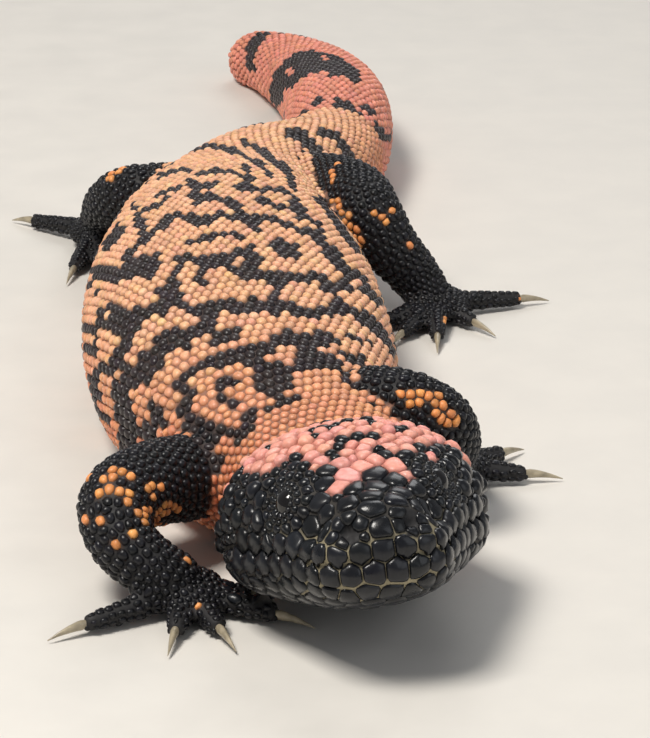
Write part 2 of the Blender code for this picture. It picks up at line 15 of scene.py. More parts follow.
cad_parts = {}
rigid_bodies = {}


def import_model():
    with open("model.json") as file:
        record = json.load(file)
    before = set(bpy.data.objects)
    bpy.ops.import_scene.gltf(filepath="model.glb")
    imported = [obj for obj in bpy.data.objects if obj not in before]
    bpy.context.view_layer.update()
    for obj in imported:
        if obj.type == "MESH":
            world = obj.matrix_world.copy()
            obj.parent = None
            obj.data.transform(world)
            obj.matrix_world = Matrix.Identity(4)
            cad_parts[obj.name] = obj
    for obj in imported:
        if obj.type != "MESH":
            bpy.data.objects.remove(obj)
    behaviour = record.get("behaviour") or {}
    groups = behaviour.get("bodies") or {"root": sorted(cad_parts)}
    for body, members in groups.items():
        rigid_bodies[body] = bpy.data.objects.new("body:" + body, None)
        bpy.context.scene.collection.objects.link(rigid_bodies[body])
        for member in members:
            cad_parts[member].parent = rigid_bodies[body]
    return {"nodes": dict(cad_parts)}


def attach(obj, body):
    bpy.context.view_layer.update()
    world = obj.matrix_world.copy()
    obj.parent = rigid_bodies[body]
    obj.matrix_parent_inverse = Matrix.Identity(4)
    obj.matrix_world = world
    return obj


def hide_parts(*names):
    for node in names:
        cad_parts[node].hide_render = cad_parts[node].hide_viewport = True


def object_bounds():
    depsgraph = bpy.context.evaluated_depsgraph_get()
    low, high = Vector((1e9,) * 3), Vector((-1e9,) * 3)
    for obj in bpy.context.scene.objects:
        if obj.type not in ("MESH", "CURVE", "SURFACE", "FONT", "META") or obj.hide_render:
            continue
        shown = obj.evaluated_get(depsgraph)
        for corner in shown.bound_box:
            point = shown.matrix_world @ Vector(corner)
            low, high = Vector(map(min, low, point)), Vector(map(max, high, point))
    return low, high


for item in list(bpy.data.objects):
    bpy.data.objects.remove(item)
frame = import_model()
cad_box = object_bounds()

MM = 0.001
BOX_MIDDLE = np.array((-0.4, 5.1, 0.0))
SEED = 7

# Head, body and legs: the same sizes as the solids, in millimetres
HEAD_PLACE = (25.5, -220.0, 27.0)
HEAD_YAW = math.radians(8.5)
HEAD_PITCH = math.radians(-14.0)
HEAD_ROLL = math.radians(-5.0)
HEAD_LENGTH = 54.0
HEAD_MIDDLE_RISE = 1.5

# Hollows in front of the eyes and brows over them: place on the left, reach each way, height
HEAD_SHAPES = (
    ((13.5, 9.5, 7.0), (7.0, 5.0, 3.4), -3.0),
    ((12.5, 18.5, 15.5), (6.0, 6.5, 5.0), 1.6),
    ((23.0, 30.0, -4.5), (6.0, 8.0, 4.0), 1.2),
)

# Sections of the head: distance back, half width, top and bottom
HEAD_SECTIONS = (
    (0.6, 8.6, 6.4, -5.0),
    (2.5, 11.6, 9.4, -7.2),
    (7.0, 14.2, 11.6, -9.4),
    (13.0, 17.2, 13.2, -10.8),
    (20.0, 20.0, 16.0, -11.8),
    (28.0, 23.8, 18.8, -12.2),
    (36.0, 26.3, 20.6, -12.4),
    (43.0, 25.8, 20.8, -12.4),
    (49.0, 23.2, 19.8, -12.2),
    (HEAD_LENGTH, 21.0, 18.2, -12.0),
)

# Head: the mouth's line by distance back, then places on the left side
MOUTH_LINE = ((-8.0, 0.2), (4.0, 0.2), (14.0, 1.4), (24.0, 0.6), (35.0, 0.4), (39.0, -6.0))
EYE_PLACE = (13.4, 19.5, 9.6)
EYE_RADIUS = 3.3
LID_RADIUS = 3.7
LID_SPREAD = 0.9
EYE_AHEAD = (0.86, -0.34, 0.38)
NOSTRIL_PLACE = (6.4, 1.2, 6.6)
EAR_PLACE = (25.6, 42.5, 3.0)

# Sections of the body: middle, half width, rise above the middle and depth below it
BODY_SECTIONS = (
    (12.0, -155.0, 16.5, 21.2, 18.0, 16.0),
    (4.5, -137.0, 17.5, 26.5, 20.5, 18.5),
    (-1.5, -110.0, 18.5, 33.0, 22.5, 21.0),
    (-5.6, -80.0, 19.0, 35.4, 24.0, 22.5),
    (-8.4, -45.0, 19.0, 34.0, 24.0, 22.5),
    (-10.2, -10.0, 18.0, 28.8, 22.5, 21.0),
    (-7.4, 18.0, 17.0, 24.6, 20.0, 19.5),
    (0.5, 44.0, 16.5, 22.2, 18.4, 18.5),
    (11.0, 67.0, 15.0, 17.0, 16.0, 16.5),
    (17.0, 88.0, 14.0, 14.4, 15.0, 15.0),
    (18.5, 116.0, 14.0, 15.8, 16.0, 15.0),
    (16.5, 149.0, 13.0, 15.0, 15.0, 14.0),
    (9.0, 184.0, 11.0, 12.6, 12.8, 12.0),
    (-2.5, 213.0, 9.0, 9.8, 10.0, 9.4),
    (-12.0, 227.0, 6.4, 6.6, 6.8, 6.8),
)
TAIL_TIP = (-17.0, 231.5, 5.2)
TAIL_TIP_STEP = 0.45
NECK_LEAD, NECK_ROLL = 1.2, 2.0
LIMB_STEP = 1.1
TOP_SQUARENESS = 2.25
BELLY_SQUARENESS = 2.6

# Legs from the body to the wrist: middle and half width
FORE_RIGHT = (
    (4.0, -145.0, 15.0, 9.5),
    (-9.5, -153.5, 16.5, 9.3),
    (-20.5, -163.0, 18.5, 9.0),
    (-27.0, -173.0, 18.0, 8.2),
    (-25.0, -180.5, 13.0, 7.0),
    (-18.5, -183.5, 8.8, 6.2),
)
FORE_LEFT = (
    (4.0, -134.0, 20.0, 9.5),
    (18.0, -138.0, 24.5, 9.2),
    (29.0, -144.5, 28.0, 8.6),
    (37.5, -144.5, 25.0, 7.8),
    (41.0, -136.5, 17.5, 6.8),
    (41.0, -127.5, 10.5, 6.2),
)
HIND_RIGHT = (
    (-1.0, 42.0, 16.0, 10.5),
    (-15.0, 33.0, 19.0, 9.6),
    (-27.5, 24.5, 22.0, 8.8),
    (-37.5, 24.5, 22.0, 7.8),
    (-43.0, 33.5, 16.5, 7.0),
    (-45.5, 45.0, 10.5, 6.2),
)
HIND_LEFT = (
    (1.0, 33.0, 19.0, 11.5),
    (15.0, 21.0, 23.5, 10.8),
    (22.5, 4.0, 27.0, 9.6),
    (26.0, -6.5, 25.5, 8.8),
    (31.5, -7.5, 17.5, 7.6),
    (37.5, -7.0, 10.5, 6.6),
)

# Feet: name, leg, palm's middle, heading in degrees and the toes' tips, inner one first
FEET = (
    ("hand_right", FORE_RIGHT, (-12.5, -183.0), -60.0,
     ((0.0, -180.5), (5.5, -190.5), (-5.8, -197.0), (-14.5, -198.0), (-32.5, -195.0))),
    ("hand_left", FORE_LEFT, (41.5, -120.0), 20.0,
     ((44.0, -136.0), (59.0, -118.5), (54.0, -106.5), (44.0, -101.0), (34.0, -103.0))),
    ("foot_right", HIND_RIGHT, (-47.5, 50.0), 235.0,
     ((-33.5, 36.0), (-37.5, 28.0), (-44.5, 22.5), (-52.0, 22.0), (-67.0, 65.0))),
    ("foot_left", HIND_LEFT, (43.0, -9.5), -40.0,
     ((27.0, -22.0), (33.5, -28.0), (42.3, -30.0), (52.0, -20.0), (65.0, -1.5))),
)
PALM_RADIUS = 8.4
PALM_HEIGHT = 8.6
TOE_START = 2.5
TOE_HEIGHT = 4.0
TOE_ROOT = 2.9
TOE_TIP = 2.1
PALM_RADII = (PALM_RADIUS, PALM_RADIUS * 0.9, PALM_HEIGHT / 2)
PALM_SINK = 0.3
TOE_TURN = 1.0
TOE_CAP = 1.3
CLAW_LENGTH = 7.5
CLAW_RADIUS = 1.05
CLAW_LIFT = 0.5
CLAW_POINT = 0.25
LIMB_FROM, LIMB_TO = 0.6, 5.0
WRIST_FROM, WRIST_TO = 1.6, 4.0

# The skin: its grid, how far it lies inside the solids, and where the toes and the mouth are
SKIN_VOXEL = 1.03
SKIN_DEPTH = 0.7
TOE_SKIN_DEPTH = 0.3
SMOOTHING, SMOOTH_PASSES = 0.5, 4
TAIL_END_SHARE = 0.55
NOSE_LENGTH = 1.0
FOOT_REACH, FOOT_TOP = 27, 7.5
MOUTH_END, MOUTH_WIDTH = 37, 0.8
HEAD_END = 60
FLOOR_GAP = 0.4
BODY_POINTS, LIMB_POINTS = 96, 40

# The photograph's camera, its frame in pixels
FOCAL_PIXELS = 2900.0
SENSOR = 36.0
PICTURE = (650.0, 738.0)
CAMERA_PLACE = (14.5, -705.0, 246.0)
CAMERA_DOWN = math.radians(20.5)

WORLD_UP = (0.0, 0.0, 1.0)
BOTH_SIDES = (1.0, -1.0)
draw = np.random.default_rng(SEED)


def world(points):
    """Metres in the model's frame from millimetres in the frame of the sizes above."""
    return (np.asarray(points, float) - BOX_MIDDLE) * MM


def millimetres(points):
    """Millimetres in the frame of the sizes above from metres in the model's frame."""
    return np.asarray(points, float) / MM + BOX_MIDDLE


def unit(vectors):
    return vectors / np.maximum(np.linalg.norm(vectors, axis=-1, keepdims=True), 1e-9)


def distances(points, place):
    return np.linalg.norm(points - place, axis=1)


def running_length(points):
    """How far along a line each of its points is."""
    steps = np.linalg.norm(np.diff(points, axis=0), axis=1)
    return np.concatenate([[0.0], np.cumsum(steps)])


def disc(angle, side, up):
    """Ways round an axis, at angles from its side towards its up."""
    return np.cos(angle)[..., None] * side + np.sin(angle)[..., None] * up


def point_tree(points):
    """A tree that finds the nearest of some points."""
    found = KDTree(len(points))
    for number, point in enumerate(points):
        found.insert(point, number)
    found.balance()
    return found


def smooth_curve(knots, values, at):
    """Values at places between knots, on a curve through the values at the knots."""
    knots = np.asarray(knots, float)
    values = np.asarray(values, float)
    at = np.asarray(at, float)
    slopes = np.gradient(values, knots, axis=0)
    low = np.clip(np.searchsorted(knots, at, side="right") - 1, 0, len(knots) - 2)
    step = (knots[low + 1] - knots[low])[:, None]
    u = (at - knots[low])[:, None] / step
    start = (2 * u**3 - 3 * u**2 + 1) * values[low] + (u**3 - 2 * u**2 + u) * step * slopes[low]
    end = (3 * u**2 - 2 * u**3) * values[low + 1] + (u**3 - u**2) * step * slopes[low + 1]
    return start + end


def head_frame():
    turn = Matrix.Rotation(HEAD_YAW, 4, "Z") @ Matrix.Rotation(HEAD_PITCH, 4, "X")
    return Matrix.Translation(HEAD_PLACE) @ turn @ Matrix.Rotation(HEAD_ROLL, 4, "Y")


HEAD_MATRIX = np.array(head_frame())


def from_head(points):
    return np.asarray(points, float) @ HEAD_MATRIX[:3, :3].T + HEAD_MATRIX[:3, 3]


def to_head(points):
    return (np.asarray(points, float) - HEAD_MATRIX[:3, 3]) @ HEAD_MATRIX[:3, :3]


def half_outline(width, rise, depth, fractions):
    """Points from the top of a section round one side to its bottom, spaced by length."""
    angle = np.linspace(math.pi / 2, -math.pi / 2, 121)
    across = width * np.abs(np.cos(angle)) ** (2 / TOP_SQUARENESS)
    lower = np.abs(np.cos(angle)) ** (2 / BELLY_SQUARENESS) * width
    across = np.where(angle < 0, lower, across)
    up = rise * np.abs(np.sin(angle)) ** (2 / TOP_SQUARENESS)
    down = -depth * np.abs(np.sin(angle)) ** (2 / BELLY_SQUARENESS)
    height = np.where(angle < 0, down, up)
    length = np.concatenate([[0.0], np.cumsum(np.hypot(np.diff(across), np.diff(height)))])
    at = np.abs(np.asarray(fractions)) * length[-1]
    side = np.where(np.asarray(fractions) < 0, -1.0, 1.0)
    return side * np.interp(at, length, across), np.interp(at, length, height), length[-1]


def body_frames(at):
    """The body's cross sections at these counts of sections: middle, side, up and sizes."""
    head = head_frame()
    start = head @ Vector((0.0, HEAD_LENGTH, HEAD_MIDDLE_RISE))
    head_along = np.array(head.to_3x3() @ Vector((0.0, 1.0, 0.0)))
    last = HEAD_SECTIONS[-1]
    first = (*start, last[1], last[2] - HEAD_MIDDLE_RISE, HEAD_MIDDLE_RISE - last[3])
    table = np.array([first, *BODY_SECTIONS])
    knots = np.arange(len(table), dtype=float)
    table = np.vstack([table, (*TAIL_TIP, 0.0, 0.0, 0.0)])
    knots = np.append(knots, knots[-1] + TAIL_TIP_STEP)
    at = np.asarray(at, float)
    values = smooth_curve(knots, table, at)
    ahead = smooth_curve(knots, table[:, :3], np.minimum(at + 0.01, knots[-2]))
    behind = smooth_curve(knots, table[:, :3], np.maximum(at - 0.01, 0.0))
    along = unit(ahead - behind)
    lead = np.clip(1.0 - at / NECK_LEAD, 0.0, 1.0)[:, None]
    along = unit(along * (1 - lead) + head_along * lead)
    roll = (HEAD_ROLL * np.clip(1.0 - at / NECK_ROLL, 0.0, 1.0))[:, None]
    level = unit(np.cross(along, WORLD_UP))
    upright = np.cross(level, along)
    side = np.cos(roll) * level - np.sin(roll) * upright
    up = np.sin(roll) * level + np.cos(roll) * upright
    return values[:, :3], side, up, values[:, 3:]


BODY_END = float(len(BODY_SECTIONS))
FINE = np.linspace(0.0, BODY_END, 1501)
FINE_LENGTH = running_length(body_frames(FINE)[0])


def body_ring(at, fractions):
    """Points round the body at one count of sections, and the half perimeter there."""
    middle, side, up, sizes = body_frames([at])
    across, height, half = half_outline(*sizes[0], fractions)
    points = middle[0] + across[:, None] * side[0] + height[:, None] * up[0]
    points[:, 2] = np.maximum(points[:, 2], 0.0)
    return points, half


def limb_frames(table, at):
    """Middle, side, up and half width along a leg, turned as little as the path allows."""
    table = np.array(table)
    knots = np.arange(len(table), dtype=float)
    values = smooth_curve(knots, table, at)
    ahead = smooth_curve(knots, table[:, :3], np.minimum(at + LIMB_STEP, knots[-1]))
    behind = smooth_curve(knots, table[:, :3], np.maximum(at - LIMB_STEP, 0.0))
    along = unit(ahead - behind)
    sides = []
    side = np.cross(along[0], WORLD_UP)
    for way in along:
        side = unit(side - way * np.dot(side, way))
        sides.append(side)
    sides = np.array(sides)
    return values[:, :3], sides, np.cross(sides, along), values[:, 3]


def linked(name, data):
    """A new object in the scene with this data."""
    made = bpy.data.objects.new(name, data)
    bpy.context.scene.collection.objects.link(made)
    return made


def mesh_object(name, mesh):
    """A new object in the scene from an edited mesh."""
    data = bpy.data.meshes.new(name)
    mesh.to_mesh(data)
    mesh.free()
    return linked(name, data)


def closed_mesh(name, rings):
    """A closed mesh through rings, with flat ends."""
    mesh = bmesh.new()
    made = [[mesh.verts.new(Vector(point)) for point in points] for points in world(rings)]
    count = len(made[0])
    for near, far in zip(made, made[1:]):
        for column in range(count):
            after = (column + 1) % count
            mesh.faces.new((near[column], near[after], far[after], far[column]))
    mesh.faces.new(made[0])
    mesh.faces.new(made[-1])
    bmesh.ops.recalc_face_normals(mesh, faces=mesh.faces)
    return mesh_object(name, mesh)


def round_form(name, place, axes, radii):
    """A rounded form whose axes are the rows of axes."""
    mesh = bmesh.new()
    bmesh.ops.create_uvsphere(mesh, u_segments=32, v_segments=20, radius=1.0)
    for vertex in mesh.verts:
        vertex.co = Vector(world(place + (np.array(vertex.co) * radii) @ axes))
    return mesh_object(name, mesh)


def head_shaped(points):
    """Points round the head, moved in for its hollows and out for its brows and cheeks."""
    left = np.concatenate([np.abs(points[..., :1]), points[..., 1:]], axis=-1)
    away = unit((points - (0.0, 0.0, HEAD_MIDDLE_RISE)) * (1.0, 0.0, 1.0))
    height = np.zeros(points.shape[:-1])
    for place, reach, rise in HEAD_SHAPES:
        height += rise * np.exp(-(((left - place) / reach) ** 2).sum(axis=-1))
    return points + away * height[..., None]


def head_rings(backs, fractions):
    table = np.array(HEAD_SECTIONS)
    values = smooth_curve(table[:, 0], table, np.clip(backs, 0.6, None))
    rings = []
    for given, (_back, width, top, bottom) in zip(backs, values):
        middle = HEAD_MIDDLE_RISE * given / HEAD_LENGTH
        across, height, _half = half_outline(width, top - middle, middle - bottom, fractions)
        rings.append(np.stack([across, np.full_like(across, given), height + middle], axis=1))
    return head_shaped(np.array(rings))


def around(count):
    """Fractions all the way round a section, once."""
    return np.linspace(-1.0, 1.0, count + 1)[:-1]


def mirrored(place, sign):
    """A place given on the head's left, or the same on its right where the sign is negative."""
    return np.array(place) * (sign, 1, 1)


def eye_frame(sign):
    """An eye's middle in the head's frame, and its side, up and outward way."""
    way = unit(mirrored(EYE_AHEAD, sign))
    side = unit(np.cross(way, WORLD_UP))
    return mirrored(EYE_PLACE, sign), side, np.cross(side, way), way


def eye_front(sign):
    """The outermost point of an eye's lids."""
    middle, _side, _up, way = eye_frame(sign)
    return middle + way * LID_RADIUS


def eye_form(name, sign, radii):
    """A rounded form in an eye's place."""
    middle, *axes = eye_frame(sign)
    return round_form(name, from_head(middle), np.array(axes) @ HEAD_MATRIX[:3, :3].T, radii)


def mouth_height(backs):
    """Height of the mouth's line on the head, at distances back from its front."""
    line = np.array(MOUTH_LINE)
    return np.interp(backs, line[:, 0], line[:, 1])


def toe_line(palm, tip):
    """Start and end of a toe's middle line, and its way along the floor."""
    way = unit(np.array(tip) - np.array(palm))
    start = np.array(palm) + way * TOE_START
    end = np.array(tip) - way * TOE_TURN
    return np.array((*start, TOE_HEIGHT)), np.array((*end, TOE_TIP + 0.2)), way


def toe_frame(palm, tip):
    """Start and end of a toe's middle line, and its way, side and up."""
    start, end, _way = toe_line(palm, tip)
    line = unit(end - start)
    side = unit(np.cross(line, WORLD_UP))
    return start, end, line, side, np.cross(side, line)


def toe_radius(share):
    return TOE_ROOT + (TOE_TIP - TOE_ROOT) * share


def wrist_path(bones, palm):
    """A leg's path on from its lower part, through the wrist and into the palm."""
    wrist = np.array(bones[-1])
    inner = wrist[:2] * 0.4 + np.array(palm) * 0.6
    return bones[-3], bones[-2], wrist, (*inner, 6.5, 6.0), (*palm, 4.4, 4.6)


def palm_frame(palm, heading):
    """Middle of a palm's rounded form, and its axes as rows."""
    turn = np.array(Matrix.Rotation(math.radians(heading), 3, "Z")).T
    return np.array((*palm, PALM_HEIGHT / 2 - PALM_SINK)), turn


def tail_end_ring(share, fractions):
    """Points round the tail's rounded end, at a share of its length, and their scale there."""
    tip = body_frames([BODY_END])[0][0]
    size = math.sqrt(max(1.0 - share**2.2, 0.01))
    ring, _half = body_ring(BODY_END, fractions)
    return tip + (ring - tip) * size + (np.array(TAIL_TIP) - tip) * share * TAIL_END_SHARE, size


def head_form():
    """The head with its nose rounded off, and its back end drawn into the neck."""
    backs = np.concatenate([np.linspace(0.6, 8, 14), np.linspace(8.8, HEAD_LENGTH, 50)])
    rings = head_rings(backs, around(BODY_POINTS))
    middle = np.array((0.0, backs[0], 0.0))
    nose = []
    for share in (0.92, 0.75, 0.5, 0.25):
        size = math.sqrt(1 - share**2)
        nose.append(middle + (rings[0] - middle) * (size, 0, size) - (0, NOSE_LENGTH * share, 0))
    inner = rings[-1] * (0.93, 1.0, 0.93) + np.array((0.0, 6.0, 0.0))
    return closed_mesh("head", from_head(np.concatenate([np.array(nose), rings, [inner]])))


def limb_form(name, table, start, end, count):
    """A closed form along part of a leg's path."""
    middle, side, up, width = limb_frames(table, np.linspace(start, end, count))
    away = disc(around(LIMB_POINTS) * math.pi, side[:, None], up[:, None])
    return closed_mesh(name, middle[:, None] + width[:, None, None] * away)


def toe_form(palm, tip):
    """A tapered toe with a rounded end."""
    start, end, line, side, up = toe_frame(palm, tip)
    away = disc(around(LIMB_POINTS) * math.pi, side, up)
    rings = []
    for share in np.linspace(0.0, 1.0, 16):
        rings.append(start + (end - start) * share + away * toe_radius(share))
    for share in (0.4, 0.75, 0.95):
        rings.append(end + line * TOE_CAP * share + away * TOE_TIP * math.sqrt(1 - share**2))
    return closed_mesh("toe", np.array(rings))


def flesh():
    """The closed forms that the skin is drawn over."""
    at = np.interp(np.linspace(0, FINE_LENGTH[-1], 230), FINE_LENGTH, FINE)
    forms = [closed_mesh("body", np.array([body_ring(a, around(BODY_POINTS))[0] for a in at]))]
    rings = [tail_end_ring(share, around(LIMB_POINTS))[0] for share in np.linspace(0.0, 1.0, 8)]
    forms.append(closed_mesh("tail_end", np.array(rings)))
    forms.append(head_form())
    lid = (LID_RADIUS + LID_SPREAD, LID_RADIUS + LID_SPREAD, LID_RADIUS)
    forms.extend(eye_form("lid", sign, lid) for sign in BOTH_SIDES)
    for _name, bones, palm, heading, toes in FEET:
        forms.append(limb_form("leg", bones, 0.0, LIMB_TO, 60))
        forms.append(limb_form("wrist", wrist_path(bones, palm), WRIST_FROM, WRIST_TO, 20))
        forms.append(round_form("palm", *palm_frame(palm, heading), PALM_RADII))
        forms.extend(toe_form(palm, tip) for tip in toes)
    return forms


def set_in(points, normals):
    """Moves the skin in under its scales, and sinks the mouth, eyes, nostrils and ears."""
    amount = np.full(len(points), SKIN_DEPTH)
    places = millimetres(points)
    for _name, _bones, palm, _heading, _toes in FEET:
        near = np.hypot(places[:, 0] - palm[0], places[:, 1] - palm[1]) < FOOT_REACH
        amount[near & (places[:, 2] < FOOT_TOP)] = TOE_SKIN_DEPTH
    head = to_head(places)
    near_head = (head[:, 1] < MOUTH_END) & (head[:, 1] > -4)
    closeness = np.exp(-(((head[:, 2] - mouth_height(head[:, 1])) / MOUTH_WIDTH) ** 2))
    on_lips = near_head & (np.abs(head[:, 0]) > 2 - head[:, 1])
    amount += np.where(on_lips, MOUTH_WIDTH * closeness, 0.0)
    for sign in BOTH_SIDES:
        for middle, radii, depth in (
            (eye_front(sign), (2.2, 2.2, 2.0), 0.9),
            (mirrored(NOSTRIL_PLACE, sign), (1.5, 1.5, 1.5), 1.6),
            (mirrored(EAR_PLACE, sign), (2.6, 1.4, 3.2), 1.8),
        ):
            far = np.linalg.norm((head - middle) / radii, axis=1)
            amount += depth * np.exp(-(far**2)) * (head[:, 1] < HEAD_END)
    return points - normals * (amount * MM)[:, None]


def vertex_data(mesh, name):
    """The places (co) or the normals of a mesh's vertices."""
    values = np.empty(len(mesh.vertices) * 3, np.float32)
    mesh.vertices.foreach_get(name, values)
    return values.reshape(-1, 3).astype(float)


def make_skin():
    """One skin over all the closed forms, set in under the scales."""
    forms = flesh()
    with bpy.context.temp_override(active_object=forms[0], selected_editable_objects=forms):
        bpy.ops.object.join()
    skin = forms[0]
    skin.name = "skin"
    skin.data.name = "skin"
    remesh = skin.modifiers.new("remesh", "REMESH")
    remesh.mode = "VOXEL"
    remesh.voxel_size = SKIN_VOXEL * MM
    smooth = skin.modifiers.new("smooth", "SMOOTH")
    smooth.factor = SMOOTHING
    smooth.iterations = SMOOTH_PASSES
    graph = bpy.context.evaluated_depsgraph_get()
    mesh = bpy.data.meshes.new_from_object(skin.evaluated_get(graph))
    skin.modifiers.clear()
    skin.data = mesh
    points = set_in(vertex_data(mesh, "co"), vertex_data(mesh, "normal"))
    points[:, 2] = np.maximum(points[:, 2], FLOOR_GAP * MM)
    mesh.vertices.foreach_set("co", points.astype(np.float32).ravel())
    mesh.update()
    mesh.shade_smooth()
    return skin


# A scale to be: its place, its row's way, its size, form, part of the body and place on the map
Seed = namedtuple("Seed", "place row size form region root")


# Forms of scale: height over half its size, roundness of outline, gap, and profile from rim to top
FORMS = {
    "bead": (0.62, 6.5, 0.03, ((1.0, -0.30), (0.90, 0.38), (0.55, 0.86))),
    "belly": (0.22, 9.0, 0.10, ((1.0, -0.40), (0.92, 0.55), (0.60, 0.92))),
    "granule": (0.66, 9.0, 0.02, ((1.0, -0.30), (0.88, 0.40), (0.50, 0.85))),
    "tubercle": (0.62, 9.0, 0.04, ((1.0, -0.25), (0.92, 0.30), (0.60, 0.80))),
    "crown": (0.60, 6.0, 0.04, ((1.0, -0.35), (0.92, 0.40), (0.62, 0.85))),
    "shield": (0.36, 22.0, 0.03, ((1.0, -0.20), (0.95, 0.50), (0.70, 0.88))),
    "lip": (0.38, 30.0, 0.03, ((1.0, -0.20), (0.95, 0.55), (0.72, 0.90))),
    "toe": (0.52, 10.0, 0.10, ((1.0, -0.30), (0.90, 0.50), (0.58, 0.90))),
}

# How much heights vary, the widest and narrowest outline, and how many points an outline has
RUGGED = {"crown": 0.22, "tubercle": 0.22}
PLAIN_RUGGED = 0.10
WIDEST = 0.80
NARROWEST = 0.25
OUTLINE_POINTS = {"shield": 20, "lip": 20, "tubercle": 18, "crown": 18}
BEAD_POINTS = 10

# Spacing of scales, in millimetres, and where the neck's, belly's and tail's begin and end
TRUNK_ALONG, TRUNK_ACROSS = 2.75, 2.3
NECK_ALONG, NECK_ACROSS = 2.3, 2.0
TAIL_ALONG, TAIL_ACROSS = 2.9, 2.4
BELLY_SPACING = 3.1
BELLY_HEIGHT, BELLY_BARE = 1.2, 0.25
TAIL_FROM = 10.0
NECK_FADE, TAIL_FADE = 28.0, 30.0
LEG_ALONG, LEG_ACROSS = 2.1, 2.25
FOOT_SPACING = 1.55
WRIST_SPACING = 1.8
TOE_SPACING = 1.9
TAIL_END_SIZE = 2.6
TAIL_END_ROWS = (0.25, 0.5, 0.72, 0.88)

# One row round a toe: angle, form and size of each scale
TOE_ROW = (
    (90, "toe", 3.0),
    (18, "granule", 1.7),
    (162, "granule", 1.7),
    (-30, "granule", 1.7),
    (210, "granule", 1.7),
    (-90, "belly", 1.7),
)

# Small scales that fill bare skin: size, least distance as a share, and how far from openings
FILL_SIZE = 2.1
FILL_SHARE, SNOUT_FILL, CROWN_FILL = 0.38, 0.56, 0.42
SNOUT_BACK = 17
FILL_HEIGHT = 0.6
FILL_OFF_MOUTH, FILL_OFF_EYE, FILL_OFF_EAR = 1.3, 2.6, 4.0

# Places on the map that the baked looks use: share of the map per millimetre, each part's corner
MAP_SCALE = 0.0019
LEG_ROOT, LEG_ROOT_STEP = 0.02, 0.25
FOOT_ROOT, LEG_ROOT_UP = 0.05, 0.12


def scatter(spread):
    return draw.normal(0.0, spread)


def body_seeds():
    """Rows of scales across the trunk and tail, every other row shifted by half a scale."""
    reach = 1.0
    row = 0
    tail_start = np.interp(TAIL_FROM, FINE, FINE_LENGTH)
    while reach < FINE_LENGTH[-1] - 0.5:
        neck = np.clip(1.0 - reach / NECK_FADE, 0.0, 1.0)
        tail = np.clip((reach - tail_start) / TAIL_FADE, 0.0, 1.0)
        along = TRUNK_ALONG + (NECK_ALONG - TRUNK_ALONG) * neck + (TAIL_ALONG - TRUNK_ALONG) * tail
        across = TRUNK_ACROSS + (NECK_ACROSS - TRUNK_ACROSS) * neck
        across += (TAIL_ACROSS - TRUNK_ACROSS) * tail
        at = np.interp(reach, FINE_LENGTH, FINE)
        _points, half = body_ring(at, np.array([0.0]))
        count = int(half / across)
        places = (np.arange(-count, count + 1) + 0.5 * (row % 2)) * across / half
        places = places[np.abs(places) < 1.0]
        places = places + draw.normal(0.0, 0.05 * across / half, len(places))
        shift = draw.normal(0.0, 0.07 * along, len(places))
        shift += 0.5 * along * np.sin(places * 3.0 + reach * 0.02)
        for place, move in zip(places, shift):
            here = np.interp(reach + move, FINE_LENGTH, FINE)
            points, _half = body_ring(here, np.array([place, place + 0.01]))
            low = points[0][2] < BELLY_HEIGHT
            if low and (row % 2 or draw.random() < BELLY_BARE):
                continue
            yield Seed(
                points[0],
                unit(points[1] - points[0]),
                BELLY_SPACING if low else along,
                "belly" if low else "bead",
                "tail" if tail > 0 else "trunk",
                (0.02 + reach * MAP_SCALE, 0.5 + place * half * MAP_SCALE),
            )
        reach += along
        row += 1


def tail_end_seeds():
    """Rows of scales round the tail's rounded end."""
    _ring, half = body_ring(BODY_END, around(LIMB_POINTS))
    for row, share in enumerate(TAIL_END_ROWS):
        _ring, size = tail_end_ring(share, around(1))
        count = max(1, int(2 * half * size / TAIL_ACROSS))
        ring, _size = tail_end_ring(share, around(count) + 0.5 * (row % 2) / count)
        ways = unit(np.roll(ring, -1, axis=0) - ring)
        for index, (place, way) in enumerate(zip(ring, ways)):
            root = (0.95 + share * 0.01, 0.4 + 0.2 * index / count)
            yield Seed(place, way, TAIL_END_SIZE, "bead", "tail", root)


def limb_seeds(name, table, start, end, along, across, form, root):
    """Rings of scales round part of a leg's path."""
    fine = np.linspace(0.0, len(table) - 1.0, 301)
    middle, sides, ups, widths = limb_frames(table, fine)
    length = running_length(middle)
    reach, last = np.interp([start, end], fine, length)
    row = 0
    while reach < last:
        index = int(np.searchsorted(length, reach).clip(0, 300))
        count = max(5, round(2 * math.pi * widths[index] / across))
        for step in range(count):
            angle = 2 * math.pi * (step + 0.5 * (row % 2) + scatter(0.05)) / count
            move = int(np.searchsorted(length, reach + scatter(0.08 * along)).clip(0, 300))
            away = math.cos(angle) * sides[move] + math.sin(angle) * ups[move]
            side = math.cos(angle) * ups[move] - math.sin(angle) * sides[move]
            spot = (root[0] + reach * MAP_SCALE, root[1] + angle * widths[move] * MAP_SCALE)
            yield Seed(middle[move] + widths[move] * away, side, along, form, name, spot)
        reach += along
        row += 1


def palm_seeds(name, palm, heading, root):
    """Granules spread evenly over a palm, on a spiral round its form."""
    count = int(4 * math.pi * PALM_RADIUS * PALM_RADIUS * 0.55 / FOOT_SPACING**2)
    middle, turn = palm_frame(palm, heading)
    for index in range(count):
        height = 1 - 2 * (index + 0.5) / count
        angle = index * math.pi * (3 - math.sqrt(5))
        flat = math.sqrt(1 - height**2)
        ball = np.array((flat * math.cos(angle), flat * math.sin(angle), height))
        place = middle + (ball * PALM_RADII) @ turn
        if place[2] >= FLOOR_GAP:
            spot = (root[0] + 0.03 * ball[0] + 0.03, root[1] + 0.03 * ball[1])
            yield Seed(place, turn[1], FOOT_SPACING * 1.1, "granule", name, spot)


